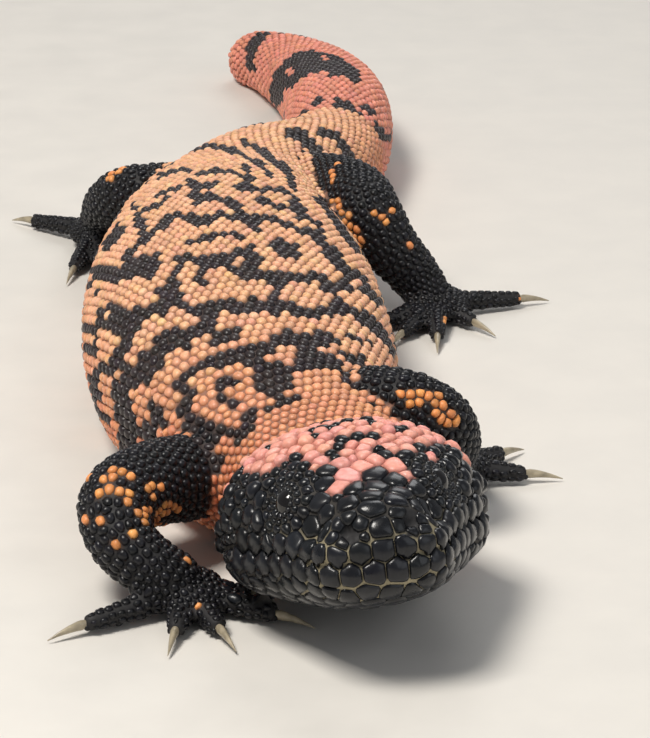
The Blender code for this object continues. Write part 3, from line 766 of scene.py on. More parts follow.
def toe_seeds(name, palm, tip, root):
    """A toe's scales: rows of a plate on top, two granules on each side and one below."""
    start, end, _line, side, up = toe_frame(palm, tip)
    reach = np.linalg.norm(end - start)
    for row in range(1, int((reach + 1.2) / TOE_SPACING) + 1):
        share = min(row * TOE_SPACING / reach, 1.0)
        middle = start + (end - start) * share
        for angle, form, size in TOE_ROW:
            turned = math.radians(angle + (0 if form == "toe" else 6 * scatter(1.0)))
            away = math.cos(turned) * side + math.sin(turned) * up
            across = -math.sin(turned) * side + math.cos(turned) * up
            spot = (root[0] + 0.09 + row * 0.0035, root[1] + angle * 0.00007)
            yield Seed(middle + toe_radius(share) * away, across, size, form, name, spot)


def foot_seeds(name, bones, palm, heading, toes, root):
    """All scales of one hand or foot."""
    yield from palm_seeds(name, palm, heading, root)
    path = wrist_path(bones, palm)
    spot = (root[0], root[1] + 0.06)
    yield from limb_seeds(name, path, 2.0, WRIST_TO, WRIST_SPACING, WRIST_SPACING, "granule", spot)
    for number, tip in enumerate(toes):
        yield from toe_seeds(name, palm, tip, (root[0], root[1] + number * 0.03))


def head_size(backs, fractions, heights):
    """Spacing of the head's free scales: large on the temples, smaller on the nape and lids."""
    size = np.full(len(backs), 3.9)
    for where, spacing in (
        ((backs > 22) & (fractions < 0.30), 3.15),
        ((backs > 18) & (fractions >= 0.30) & (heights > -2), 4.5),
        ((backs < 18) & (fractions < 0.35), 4.2),
        (backs > 44, 3.2),
        (heights < -4, 4.3),
    ):
        size[where] = spacing
    return size


def head_form_name(back, fraction, height):
    """Form of a free scale: shields on the snout and under the jaw, rugged ones elsewhere."""
    top = fraction < CROWN_HALF
    if height < JAW_HEIGHT or back < (SNOUT_TOP_END if top else SNOUT_SIDE_END):
        return "shield"
    if top and back > CROWN_START:
        return "crown"
    return "tubercle"


# Plates of the lips, rings round the eyes (radius, count, size), and scales round the nostrils
LIP_SPACING = 4.5
LIP_COUNT = 10
LIP_ROWS = ((2.2, 0.0), (-2.2, 0.5))
LIP_END = 37.0
EYE_RING = ((2.95, 14, 1.5), (4.0, 15, 1.8), (5.2, 14, 2.5))
EYE_OPENING = 4.4
NOSTRIL_OPENING = 2.2
NOSTRIL_SHIELDS = 6
NOSTRIL_RING = 2.9

# How far the free scales keep from the mouth's line, the middles of the eyes, nostrils and ears
MOUTH_CLEAR = 3.9
EYE_CLEAR = 6.3
NOSTRIL_CLEAR = 4.2
EAR_CLEAR = (9, 1.7, 3.6)

# Where the head's forms of scale end, and how close and even the free ones are
CROWN_HALF, CROWN_START = 0.36, 24
SNOUT_TOP_END, SNOUT_SIDE_END = 20, 16
JAW_HEIGHT = -3.0
CLOSEST = 0.80
RELAX_PASSES = 8


def lip_contour(height):
    """The line round the snout at a height from the mouth, from its front to the jaw's angle."""
    points = [(0.0, -1.1, MOUTH_LINE[1][1] + height)]
    for back in np.linspace(0.6, LIP_END, 60):
        ring = head_rings([back], around(360))[0]
        ring = ring[ring[:, 0] > 0]
        level = mouth_height(back) + height
        points.append(tuple(ring[np.argmin(np.abs(ring[:, 2] - level))]))
    points = np.array(points)
    return points, running_length(points)


def lip_plates():
    """Two rows of plates along the lips: place, size and form of each."""
    made = []
    for height, shift in LIP_ROWS:
        points, length = lip_contour(height)
        for count in range(LIP_COUNT):
            reach = (count + shift) * LIP_SPACING
            if reach > length[-1]:
                continue
            spot = [np.interp(reach, length, points[:, axis]) for axis in range(3)]
            for sign in BOTH_SIDES if reach else (1.0,):
                made.append((mirrored(spot, sign), LIP_SPACING, "lip"))
    return made


def opening_scales(sign):
    """An eye and a nostril as openings, with the granules and shields round them."""
    middle, side, up, way = eye_frame(sign)
    made = []
    for radius, count, size in EYE_RING:
        drop = LID_RADIUS * math.sqrt(max(0.0, 1 - (radius / (LID_RADIUS + LID_SPREAD)) ** 2))
        for index in range(count):
            angle = 2 * math.pi * (index + 0.5 * (radius > 4)) / count
            away = math.cos(angle) * side + math.sin(angle) * up
            made.append((middle + way * drop + radius * away, size, "granule"))
    nostril = mirrored(NOSTRIL_PLACE, sign)
    made.append((eye_front(sign), EYE_OPENING, "hole"))
    made.append((nostril, NOSTRIL_OPENING, "hole"))
    for index in range(NOSTRIL_SHIELDS):
        angle = 2 * math.pi * (index + 0.25) / NOSTRIL_SHIELDS
        away = np.array((math.cos(angle), 0.3, math.sin(angle)))
        made.append((nostril + NOSTRIL_RING * away, NOSTRIL_RING, "shield"))
    return made


def spread_out(fixed, samples, wanted):
    """Places at wanted spacings, chosen among samples, clear of the fixed ones and relaxed."""
    taken = np.array(fixed)
    for index in draw.permutation(len(samples)):
        nearest = np.min(np.sum((taken - samples[index]) ** 2, axis=1))
        if nearest >= (wanted[index] * CLOSEST) ** 2:
            taken = np.vstack([taken, samples[index]])
    sparse = samples[::2]
    for _pass in range(RELAX_PASSES):
        near = point_tree(taken)
        owner = np.array([near.find(point)[1] for point in sparse])
        for number in range(len(fixed), len(taken)):
            mine = sparse[owner == number]
            if len(mine):
                taken[number] = mine.mean(axis=0)
    return taken[len(fixed):]


def head_seeds(skin_points):
    """Lip plates in two rows, rings of granules round the eyes, and relaxed cells elsewhere."""
    made = lip_plates() + opening_scales(1.0) + opening_scales(-1.0)
    samples = to_head(skin_points)
    near = (samples[:, 1] < HEAD_LENGTH - 0.5) & (np.abs(samples[:, 0]) < 30) & (samples[:, 2] > -16)
    samples = samples[near]
    backs, heights = samples[:, 1], samples[:, 2]
    table = np.array(HEAD_SECTIONS)
    widths, tops, bottoms = (np.interp(backs, table[:, 0], table[:, axis]) for axis in (1, 2, 3))
    fractions = np.arctan2(np.abs(samples[:, 0]) / widths, (heights - 1.0) / tops) / math.pi
    free = (np.abs(heights - mouth_height(backs)) > MOUTH_CLEAR) | (backs > 36)
    free &= np.abs(samples[:, 0]) < widths + 1.5
    free &= heights > bottoms - 0.4
    for sign in BOTH_SIDES:
        free &= distances(samples, mirrored(EYE_PLACE, sign)) > EYE_CLEAR
        free &= distances(samples, mirrored(NOSTRIL_PLACE, sign)) > NOSTRIL_CLEAR
        free &= np.linalg.norm((samples - mirrored(EAR_PLACE, sign)) / EAR_CLEAR, axis=1) > 1.0
    samples, backs, fractions, heights = (item[free] for item in (samples, backs, fractions, heights))
    wanted = head_size(backs, fractions, heights)
    for point in spread_out([item[0] for item in made], samples, wanted):
        nearest = np.argmin(np.sum((samples - point) ** 2, axis=1))
        form = head_form_name(backs[nearest], fractions[nearest], heights[nearest])
        made.append((samples[nearest], wanted[nearest], form))
    for place, size, form in made:
        row = from_head(place + (0.0, 1.0, 0.0)) - from_head(place)
        root = (0.06 + place[1] * MAP_SCALE, 0.85 + math.atan2(place[0], place[2] - 2.0) * 0.02)
        yield Seed(from_head(place), unit(row), size, form, "head", root)


# Settling: how far a scale may be moved on to the skin, and its least distance from another
MOST_MOVE, HEAD_MOVE, BODY_MOVE = 3.2, 2.9, 1.75
LEAST_SHARE = 0.27
CELL = 3.0


def crowded(grid, key, point, size):
    """Whether an earlier scale in the cells round a key stands too near a point."""
    for x, y, z in itertools.product((-1, 0, 1), repeat=3):
        for other, other_size in grid.get((key[0] + x, key[1] + y, key[2] + z), ()):
            if np.linalg.norm(other - point) < LEAST_SHARE * (size + other_size):
                return True
    return False


def settle(seeds, tree):
    """Drops seeds away from the skin or too near an earlier one, and gives the rest their place."""
    kept = []
    grid = {}
    for seed in seeds:
        found = tree.find_nearest(Vector(world(seed.place)), MOST_MOVE * MM)
        if found[0] is None:
            continue
        point = millimetres(found[0])
        limit = HEAD_MOVE if seed.region == "head" else BODY_MOVE
        key = tuple((point // CELL).astype(int))
        if np.linalg.norm(point - seed.place) > limit or crowded(grid, key, point, seed.size):
            continue
        grid.setdefault(key, []).append((point, seed.size))
        kept.append((seed, point, np.array(found[1])))
    return kept


def fill_bare(kept, skin):
    """Adds small scales where the skin is bare between the settled ones."""
    near = point_tree([item[1] for item in kept])
    points, normals = millimetres(vertex_data(skin.data, "co")), vertex_data(skin.data, "normal")
    head = to_head(points)
    open_skin = points[:, 2] > FILL_HEIGHT
    off_mouth = np.abs(head[:, 2] - mouth_height(head[:, 1])) > FILL_OFF_MOUTH
    open_skin &= off_mouth | (head[:, 1] > MOUTH_END)
    for sign in BOTH_SIDES:
        open_skin &= distances(head, mirrored(NOSTRIL_PLACE, sign)) > FILL_OFF_EYE
        open_skin &= distances(head, mirrored(EAR_PLACE, sign)) > FILL_OFF_EAR
        open_skin &= distances(head, eye_front(sign)) > FILL_OFF_EYE
    added = np.zeros((0, 3))
    for index in draw.permutation(np.flatnonzero(open_skin)):
        point = points[index]
        _place, number, far = near.find(point)
        nearest = kept[number][0]
        size = min(FILL_SIZE, nearest.size)
        share = FILL_SHARE
        if nearest.region == "head":
            share = SNOUT_FILL if head[index, 1] < SNOUT_BACK else CROWN_FILL
        if far < share * (nearest.size + size):
            continue
        if len(added) and np.min(np.sum((added - point) ** 2, axis=1)) < (0.9 * size) ** 2:
            continue
        added = np.vstack([added, point])
        form = "bead" if nearest.region in ("trunk", "tail") else "granule"
        kept.append((nearest._replace(size=size, form=form), point, normals[index]))
    print(len(added), "scales fill bare skin")


# Colours, as light from the scales: trunk, flank, tail, crown, legs
PEACH = (0.92, 0.50, 0.29)
SALMON = (0.78, 0.27, 0.13)
TAIL_PINK = (0.86, 0.32, 0.22)
CROWN_PINK = (0.95, 0.42, 0.34)
LEG_ORANGE = (0.90, 0.36, 0.11)
BLACK = (0.034, 0.026, 0.028)
LEG_BLACK = (0.008, 0.008, 0.011)
HEAD_BLACK = (0.007, 0.008, 0.011)
CREAM = (0.50, 0.43, 0.27)

# Markings, read from the photograph: half width, then points along each black bar
TRUNK_BARS = (
    (5, (292, 134), (304, 138), (314, 150), (318, 158)),
    (3.5, (320, 132), (336, 138), (346, 150), (350, 158)),
    (2, (242, 142), (262, 152), (272, 162), (280, 170)),
    (2, (194, 150), (210, 147), (230, 150), (244, 158), (260, 166), (270, 176)),
    (2, (200, 175), (214, 172), (230, 173), (242, 178)),
    (1.5, (160, 178), (174, 172), (190, 171)),
    (2, (180, 154), (194, 150)),
    (3, (282, 166), (290, 178), (292, 188)),
    (3, (246, 170), (250, 182), (244, 189), (236, 190)),
    (2, (250, 188), (260, 193), (278, 190), (292, 196)),
    (2.2, (190, 184), (200, 190), (206, 188), (218, 182)),
    (6, (196, 188), (198, 200)),
    (3, (198, 200), (214, 198), (226, 202), (236, 208), (244, 216), (256, 220), (270, 219)),
    (5, (250, 220), (256, 228)),
    (2.5, (206, 220), (222, 216), (240, 220)),
    (1.8, (158, 196), (170, 192), (182, 190)),
    (1.6, (144, 212), (158, 206), (166, 200)),
    (3.5, (160, 228), (166, 220), (182, 216), (190, 220), (202, 224), (210, 220)),
    (5, (142, 222), (146, 238)),
    (3, (150, 238), (158, 230), (160, 228)),
    (4, (120, 230), (114, 240), (108, 246)),
    (2.5, (136, 208), (140, 220)),
    (2, (186, 242), (202, 241), (214, 236), (226, 235), (240, 238)),
    (2.5, (260, 200), (272, 206), (282, 210)),
    (3, (290, 206), (300, 214), (298, 220)),
    (2, (276, 220), (290, 226), (300, 232), (310, 234)),
    (7, (278, 246), (294, 254)),
    (4, (310, 232), (320, 240), (328, 250), (330, 260)),
    (3, (326, 252), (336, 266), (348, 278)),
    (4, (182, 260), (194, 260), (206, 264), (222, 260), (236, 254), (250, 252), (256, 258), (256, 272)),
    (6, (204, 268), (200, 282)),
    (6, (248, 262), (250, 274)),
    (3, (218, 260), (230, 270), (244, 274), (260, 278), (272, 280)),
    (4, (258, 276), (270, 274), (284, 280), (300, 278), (316, 278), (330, 286), (348, 282)),
    (5, (326, 287), (346, 287)),
    (5, (270, 280), (278, 290), (272, 300), (280, 310)),
    (3.5, (96, 274), (106, 270), (120, 272), (136, 260), (150, 258), (158, 260)),
    (7, (134, 268), (152, 264)),
    (3.5, (104, 280), (126, 276), (150, 274)),
    (3, (86, 286), (100, 290)),
    (4, (170, 292), (176, 280), (180, 264)),
    (4, (160, 294), (174, 296), (182, 300)),
    (2, (126, 258), (132, 250), (138, 248)),
    (5, (140, 312), (150, 310), (160, 312), (170, 302), (182, 306), (190, 312), (200, 316)),
    (6.5, (206, 308), (222, 306), (240, 308), (260, 306), (280, 310)),
    (4.5, (286, 308), (294, 310), (310, 312), (324, 314), (340, 310)),
    (3.5, (338, 306), (350, 312), (366, 322), (376, 332)),
    (5, (86, 330), (100, 326), (110, 324), (126, 320), (140, 322)),
    (3, (104, 312), (112, 308), (124, 316)),
    (4, (124, 330), (136, 328), (126, 344)),
    (4, (90, 350), (96, 348)),
    (3.5, (114, 362), (120, 356), (124, 340)),
    (5.5, (160, 344), (172, 338), (182, 334), (194, 336), (206, 328), (210, 320)),
    (4, (136, 356), (150, 356), (160, 350), (178, 346), (190, 342)),
    (6, (102, 370), (126, 368)),
    (4, (88, 380), (96, 388), (100, 398)),
    (8, (158, 360), (150, 370), (136, 378), (124, 386), (120, 396), (126, 414), (130, 430), (128, 450)),
    (6, (144, 364), (150, 372), (146, 382)),
    (3, (92, 404), (106, 414), (112, 420)),
    (5, (216, 338), (238, 336)),
    (5.5, (182, 378), (190, 372), (202, 366), (214, 360), (230, 358), (244, 352), (262, 350)),
    (7, (182, 380), (184, 390), (188, 398), (184, 408)),
    (7, (248, 352), (256, 364), (262, 374), (276, 372)),
    (6, (262, 350), (274, 344), (286, 336), (296, 338), (306, 344), (318, 336), (330, 342)),
    (6, (300, 348), (310, 356), (320, 360), (334, 362)),
    (4, (310, 364), (290, 370), (286, 372)),
    (4, (338, 364), (342, 376), (350, 384), (366, 388), (382, 388), (392, 386)),
    (4, (346, 356), (360, 362), (362, 364)),
    (2, (350, 338), (370, 344)),
    (3, (360, 322), (376, 330), (380, 338)),
    (6, (220, 394), (222, 386), (234, 384)),
    (3, (230, 402), (236, 406)),
    (6, (262, 384), (270, 386), (280, 388), (286, 384)),
    (3, (268, 394), (282, 398), (300, 398)),
    (7, (158, 410), (160, 420), (150, 430), (138, 432)),
    (5, (244, 418), (252, 410), (246, 428), (242, 432)),
    (2, (270, 408), (282, 404)),
    (9, (194, 424), (202, 430), (210, 430), (200, 442), (208, 454), (198, 460)),
    (5, (218, 434), (230, 434), (236, 438)),
    (6, (190, 470), (200, 470), (210, 464), (218, 460)),
    (5, (198, 480), (208, 496)),
    (3, (154, 438), (162, 450), (172, 464)),
    (2.5, (295, 199), (303, 216), (320, 228)),
    (3, (318, 200), (330, 214), (340, 230)),
    (3, (316, 241), (337, 253)),
    (3, (324, 253), (345, 270), (362, 278)),
    (2.5, (344, 236), (354, 250)),
    (2.5, (352, 290), (366, 290), (378, 304)),
    (3, (337, 303), (370, 320), (384, 338)),
    (2.5, (384, 342), (392, 354)),
)
TAIL_BARS = (
    (4, (264, 35), (257, 40), (252, 47), (250, 57), (251, 68)),
    (6, (278, 100), (278, 87), (282, 75), (290, 66), (300, 60), (312, 57)),
    (9, (288, 80), (298, 70), (310, 64), (324, 63), (336, 68)),
    (6, (330, 62), (342, 69), (354, 76)),
    (3.5, (337, 103), (347, 108), (358, 118)),
    (2.5, (313, 105), (323, 100)),
    (2, (302, 115), (307, 112)),
    (2.5, (363, 108), (370, 112)),
    (3, (375, 127), (383, 137), (393, 133)),
    (7, (296, 136), (307, 134), (320, 136), (330, 142)),
    (3.5, (320, 130), (333, 133), (342, 143), (350, 158)),
)
TAIL_SPOTS = ((3.6, 291, 73), (3.2, 325, 59))
CROWN = (
    (214, 470), (228, 450), (245, 430), (272, 410), (300, 394), (330, 385), (352, 390), (380, 392),
    (400, 398), (425, 410), (446, 424), (446, 446), (430, 447), (416, 448), (402, 452), (396, 458),
    (412, 470), (412, 478), (398, 478), (392, 470), (372, 470), (356, 474), (348, 486), (336, 492),
    (326, 488), (324, 478), (314, 470), (300, 456), (290, 458), (282, 466), (272, 474), (256, 474),
    (244, 468), (236, 462), (226, 466),
)
CROWN_BARS = (
    (4, (258, 424), (272, 426), (268, 433)),
    (4, (293, 418), (300, 414), (308, 410), (318, 402), (328, 394), (334, 390)),
    (7, (310, 430), (312, 440)),
    (2.5, (320, 426), (332, 428), (345, 424), (356, 416), (366, 414)),
    (3, (363, 406), (370, 408)),
    (3.5, (365, 420), (378, 424), (392, 430), (404, 428)),
    (4, (403, 410), (412, 414), (422, 412)),
    (4, (424, 427), (434, 432)),
    (6, (354, 436), (355, 437)),
    (5, (372, 439), (373, 440)),
    (4, (344, 442), (345, 443)),
    (6, (330, 456), (342, 450), (336, 462)),
    (6, (368, 454), (380, 452), (388, 456)),
    (5, (338, 470), (350, 472)),
    (4, (377, 464), (378, 465)),
    (4.5, (236, 458), (248, 450), (262, 446), (268, 450)),
    (4, (316, 474), (326, 474)),
)
CROWN_SPOTS = ((5, 429, 459), (5, 247, 464))
LEG_SPOTS = (
    (5, 90, 482), (5, 100, 481), (5, 111, 474), (5, 121, 476), (5, 130, 476), (5, 138, 478),
    (5, 146, 482), (5, 150, 488), (5, 158, 488), (5, 102, 491), (6, 113, 492), (6, 125, 491),
    (5, 128, 501), (5, 155, 501), (6, 168, 504), (5, 176, 510), (5, 111, 510), (6, 135, 510),
    (5, 148, 510), (6, 163, 511), (5, 96, 516), (5, 103, 518), (5, 87, 517), (6, 143, 519),
    (6, 157, 519), (5, 152, 527), (6, 166, 526), (5, 129, 534), (5, 115, 546), (5, 125, 546),
    (4, 184, 561), (4, 223, 558), (4, 198, 608), (4, 366, 208), (4, 375, 210), (4, 382, 220),
    (4, 389, 223), (5, 396, 224), (4, 394, 212), (4, 406, 206), (4, 404, 230), (4, 416, 230),
    (4, 403, 244), (4, 412, 244), (4, 403, 258), (4, 424, 234), (5, 522, 297), (4, 443, 321),
    (4, 469, 389), (4, 440, 378), (6, 110, 174), (6, 119, 169),
)
LEG_LIGHT_BARS = (
    (7, (336, 206), (344, 216), (352, 230), (356, 242)),
    (3, (335, 166), (332, 184)),
    (9, (408, 398), (424, 396), (440, 404), (450, 420)),
)


def to_pixels(points):
    """Where points, in millimetres, stand in the photograph."""
    across, ahead, up = (np.asarray(points, float) - np.array(CAMERA_PLACE)).T
    depth = ahead * math.cos(CAMERA_DOWN) - up * math.sin(CAMERA_DOWN)
    height = ahead * math.sin(CAMERA_DOWN) + up * math.cos(CAMERA_DOWN)
    x = PICTURE[0] / 2 + FOCAL_PIXELS * across / depth
    return np.stack([x, PICTURE[1] / 2 - FOCAL_PIXELS * height / depth], axis=1)


# How far bars spread past their lines, and how much of the unseen skin its waves make dark or light
BAR_SPREAD = 0.9
LEAST_SEEN = 0.04
HIDDEN_TRUNK, HIDDEN_TAIL, HIDDEN_NAPE, HIDDEN_LEG = 0.30, 0.75, 0.8, 0.62
LEG_LIGHT_FROM = 9


def bar_distance(pixels, strokes):
    """How far pixels are outside the nearest of some strokes, negative inside."""
    near = np.full(len(pixels), np.inf)
    for half, *line in strokes:
        for start, end in zip(line, line[1:]):
            start, end = np.array(start, float), np.array(end, float)
            run = end - start
            share = np.clip((pixels - start) @ run / (run @ run), 0.0, 1.0)
            far = distances(pixels - start, share[:, None] * run) - half
            near = np.minimum(near, far)
    return near


def spot_distance(pixels, spots):
    """How far pixels are outside the nearest of some spots, negative inside."""
    near = np.full(len(pixels), np.inf)
    for size, x, y in spots:
        near = np.minimum(near, np.hypot(pixels[:, 0] - x, pixels[:, 1] - y) - size)
    return near


def inside(pixels, outline):
    """Which pixels lie inside a closed outline."""
    within = np.zeros(len(pixels), bool)
    for (x0, y0), (x1, y1) in zip(outline, outline[1:] + outline[:1]):
        spans = (y0 > pixels[:, 1]) != (y1 > pixels[:, 1])
        slope = (x1 - x0) / ((y1 - y0) if y1 != y0 else 1.0)
        within ^= spans & (pixels[:, 0] < x0 + slope * (pixels[:, 1] - y0))
    return within


def hidden_bars(places):
    """Oblique, broken bars where the photograph doesn't show the body."""
    x, y, z = places.T
    wave = np.sin(y * 0.27 + 1.5 * np.sin(x * 0.10 + z * 0.09 + y * 0.015) + 0.10 * x)
    fine = np.sin(z * 0.42 + y * 0.33) * np.sin(y * 0.51 - z * 0.27 + x * 0.2)
    return wave + 0.6 * fine


def seen(points, normals):
    """How squarely a point's surface faces the photograph's camera."""
    return np.sum(unit(np.array(CAMERA_PLACE) - points) * normals, axis=1)


def colour_classes(regions, points, normals):
    """Each scale's colour name, from its place in the photograph or, unseen, from its own."""
    pixels = to_pixels(points)
    shown = seen(points, normals) > LEAST_SEEN
    names = np.full(len(points), "leg", dtype=object)
    hidden = hidden_bars(points)

    trunk = regions == "trunk"
    black = np.where(shown, bar_distance(pixels, TRUNK_BARS) < BAR_SPREAD, hidden > HIDDEN_TRUNK)
    names[trunk] = np.where(black[trunk], "black", "peach")
    tail = regions == "tail"
    stretched = hidden_bars(points * (1, 0.5, 1))
    black = np.where(shown, bar_distance(pixels, TAIL_BARS) < BAR_SPREAD, stretched > HIDDEN_TAIL)
    black &= ~(shown & (spot_distance(pixels, TAIL_SPOTS) < 0))
    trunk_black = shown & (bar_distance(pixels, TRUNK_BARS) < 0)
    names[tail] = np.where((black | trunk_black)[tail], "black", "pink")

    head = regions == "head"
    local = to_head(points)
    nape = ~shown & (local[:, 1] > 26) & (local[:, 2] > 8) & (hidden < HIDDEN_NAPE)
    crown = (shown & inside(pixels, CROWN) & (bar_distance(pixels, CROWN_BARS) > -1.0)) | nape
    crown |= shown & (spot_distance(pixels, CROWN_SPOTS) < 0)
    names[head] = np.where(crown[head], "crown", "head")

    legs = ~(trunk | tail | head)
    light = spot_distance(pixels, LEG_SPOTS) < -0.7
    light |= bar_distance(pixels, LEG_LIGHT_BARS) < 0
    unseen = np.sin(points[:, 0] * 1.9 + 3) * np.sin(points[:, 1] * 1.7) * np.sin(points[:, 2] * 1.3)
    light = np.where(shown, light, (unseen > HIDDEN_LEG) & (points[:, 2] > LEG_LIGHT_FROM))
    names[legs] = np.where(light[legs], "spot", "leg")
    return names


def trunk_light(point):
    """Peach on the back, turning salmon low on the flanks and on the neck."""
    low = min(max((30.0 - point[2]) / 16.0, 0.0), 1.0)
    neck = min(max((-118.0 - point[1]) / 40.0, 0.0), 1.0)
    share = min(low * 0.8 + neck * 0.55, 1.0)
    return np.array(PEACH) * (1 - share) + np.array(SALMON) * share


TONES = {
    "peach": (PEACH, 0.09),
    "pink": (TAIL_PINK, 0.08),
    "crown": (CROWN_PINK, 0.07),
    "spot": (LEG_ORANGE, 0.12),
    "black": (BLACK, 0.18),
    "leg": (LEG_BLACK, 0.25),
    "head": (HEAD_BLACK, 0.25),
}
LIGHT = {"peach", "pink", "crown", "spot"}

# Painted shade: how dark a scale is painted at its rim, where it meets its neighbours, and where its
# corners may be
LIGHT_RIM_SHADE, DARK_RIM_SHADE = 0.42, 0.75
SCALE_FLOOR, BOX_MARGIN = 0.12, 0.05
TRUNK_PARTING = -62
MAP_SPOT = 0.0014


def scatter_tone(name, point):
    """A scale's colour, a little off its name's, and last whether it is a light one."""
    tone, spread = TONES[name]
    if name == "peach":
        tone = trunk_light(point)
    tone = np.array(tone) * (1.0 + spread * scatter(1.0))
    tone = tone * (1.0, 1.0 + 0.04 * scatter(1.0), 1.0 + 0.05 * scatter(1.0))
    return (*np.clip(tone, 0.0, 1.0), 1.0 if name in LIGHT else 0.0)


class Scales:
    """The settled scales, in arrays with a row for each."""

    def __init__(self, kept):
        seeds, points, normals = zip(*kept)
        _places, rows, sizes, forms, regions, roots = (np.array(item) for item in zip(*seeds))
        self.points = np.array(points)
        self.normals = unit(np.array(normals))
        self.sizes, self.forms, self.regions, self.roots = sizes, forms, regions, roots
        self.tangents = unit(rows - self.normals * np.sum(rows * self.normals, axis=1, keepdims=True))
        self.across = np.cross(self.normals, self.tangents)
        self.classes = colour_classes(self.regions, self.points, self.normals)
        self.find_neighbours()

    def find_neighbours(self):
        """The ways to the scales round each one, and how far its rim reaches towards them."""
        near = point_tree(self.points)
        near = np.array([[found[1] for found in near.find_n(point, 11)][1:] for point in self.points])
        offset = self.points[near] - self.points[:, None]
        flat_x = np.einsum("nkc,nc->nk", offset, self.tangents)
        flat_y = np.einsum("nkc,nc->nk", offset, self.across)
        share = self.sizes[:, None] / (self.sizes[:, None] + self.sizes[near])
        self.ways = np.arctan2(flat_y, flat_x)
        self.reaches = (np.hypot(flat_x, flat_y) + 1e-6) * share

    def piece(self, number):
        """The piece a scale belongs to: the legs share one, and the trunk has two."""
        region = self.regions[number]
        if region == "trunk":
            return "trunk_front" if self.points[number][1] < TRUNK_PARTING else "trunk_rear"
        return str(region) if region in ("tail", "head") else "legs"

    def rim(self, number, angle):
        """Distance from a scale's middle to its rim, by direction, from the scales round it."""
        _rise, power, gap, _profile = FORMS[self.forms[number]]
        reach = np.maximum(self.reaches[number] - gap, NARROWEST)
        facing = np.maximum(np.cos(angle[:, None] - self.ways[number][None]), 0.0) / reach[None]
        limit = WIDEST * self.sizes[number]
        return (np.sum(facing**power, axis=1) + (1 / limit) ** power) ** (-1 / power)

    def corners(self, number, angle, tree):
        """Corners of one scale, in rings from its rim up and its top last, in millimetres."""
        form = self.forms[number]
        rise, _power, _gap, profile = FORMS[form]
        point, normal = self.points[number], self.normals[number]
        rim = self.rim(number, angle)
        top = rise * rim.mean() * (1.0 + RUGGED.get(form, PLAIN_RUGGED) * scatter(1.0))
        flat = point + (rim * np.cos(angle))[:, None] * self.tangents[number]
        flat = flat + (rim * np.sin(angle))[:, None] * self.across[number]
        found = [tree.find_nearest(Vector(world(place)), 0.01) for place in flat]
        base = millimetres([item[0] for item in found])
        lean = np.array([item[1] for item in found])
        rings = []
        for spread, lift in profile:
            outward = unit(normal + (lean - normal) * spread)
            rings.append(point + (base - point) * spread + outward * lift * top)
        return np.vstack([*rings, point + normal * top])


def scale_faces(first, rings, sides):
    """Faces of a scale of some rings, from the number of its first corner, closed at the top."""
    faces = []
    top = first + rings * sides
    for low in range(first, top, sides):
        for side in range(sides):
            after = (side + 1) % sides
            if low + sides < top:
                faces.append((low + side, low + after, low + sides + after, low + sides + side))
            else:
                faces.append((low + side, low + after, top))
    return faces


def colour_layer(mesh, name, colours):
    layer = mesh.attributes.new(name, "FLOAT_COLOR", "POINT")
    layer.data.foreach_set("color", colours.astype(np.float32).ravel())


def scale_piece(name, members, scales, tree):
    """One piece of many scales, coloured at its points, with painted shade that darkens the rims of
    each.
    """
    corners, faces, colours, uvs, rim_shades = [], [], [], [], []
    for number in members:
        form = scales.forms[number]
        profile = FORMS[form][3]
        sides = OUTLINE_POINTS.get(form, BEAD_POINTS)
        angle = np.arange(sides) * 2 * math.pi / sides
        faces.extend(scale_faces(len(corners), len(profile), sides))
        corners.extend(scales.corners(number, angle, tree))
        tone = scatter_tone(scales.classes[number], scales.points[number])
        colours.extend([tone] * (len(profile) * sides + 1))
        spot = np.stack([np.cos(angle), np.sin(angle)], axis=1) * MAP_SPOT
        for spread, lift in profile:
            # Painted shade by ring: full at the rim, less up the side, none on the upper rings and the
            # top
            rim_shades.extend([0.0 if lift < 0 else 0.6 if lift < 0.6 else 1.0] * sides)
            uvs.extend(scales.roots[number] + spot * spread)
        rim_shades.append(1.0)
        uvs.append(scales.roots[number])
    corners = np.array(corners)
    corners[:, 2] = np.maximum(corners[:, 2], SCALE_FLOOR)
    low, high = (millimetres(corner) for corner in cad_box)
    corners = np.clip(corners, low + BOX_MARGIN, high - BOX_MARGIN)
    mesh = bpy.data.meshes.new(name)
    mesh.from_pydata(world(corners).tolist(), [], faces)
    colours = np.array(colours)
    light = colours[:, 3] > 0.5
    # Painted shade: each scale's colour darkened towards its rim, light scales more than dark ones
    dark = np.where(light, LIGHT_RIM_SHADE, DARK_RIM_SHADE)
    rim_shaded_colours = colours.copy()
    rim_shaded_colours[:, :3] *= (dark + (1 - dark) * np.array(rim_shades))[:, None]
    colour_layer(mesh, "scale_colour_rim_shade", rim_shaded_colours)
    corner_index = np.empty(len(mesh.loops), np.int32)
    mesh.loops.foreach_get("vertex_index", corner_index)
    bake = mesh.uv_layers.new(name="OFBake")
    bake.data.foreach_set("uv", np.array(uvs, np.float32)[corner_index].ravel())
    first_corner = np.array([face[0] for face in faces])
    mesh.polygons.foreach_set("material_index", (~light[first_corner]).astype(np.int32))
    mesh.shade_smooth()
    mesh.update()
    print(name, len(members), "scales", len(mesh.polygons), "faces")
    return linked(name, mesh)


def scale_pieces(scales, tree):
    """The pieces that hold all the scales, by name of the region."""
    groups = {}
    for number in np.flatnonzero(scales.forms != "hole"):
        groups.setdefault(scales.piece(number), []).append(number)
    made = {}
    for region, members in groups.items():
        made[region] = scale_piece("scales_" + region, members, scales, tree)
    return made


def nodes_for(name):
    made = bpy.data.materials.new(name)
    made.use_nodes = True
    tree = made.node_tree
    return made, tree, tree.nodes["Principled BSDF"]


def set_inputs(node, values):
    for name, value in values.items():
        node.inputs[name].default_value = value


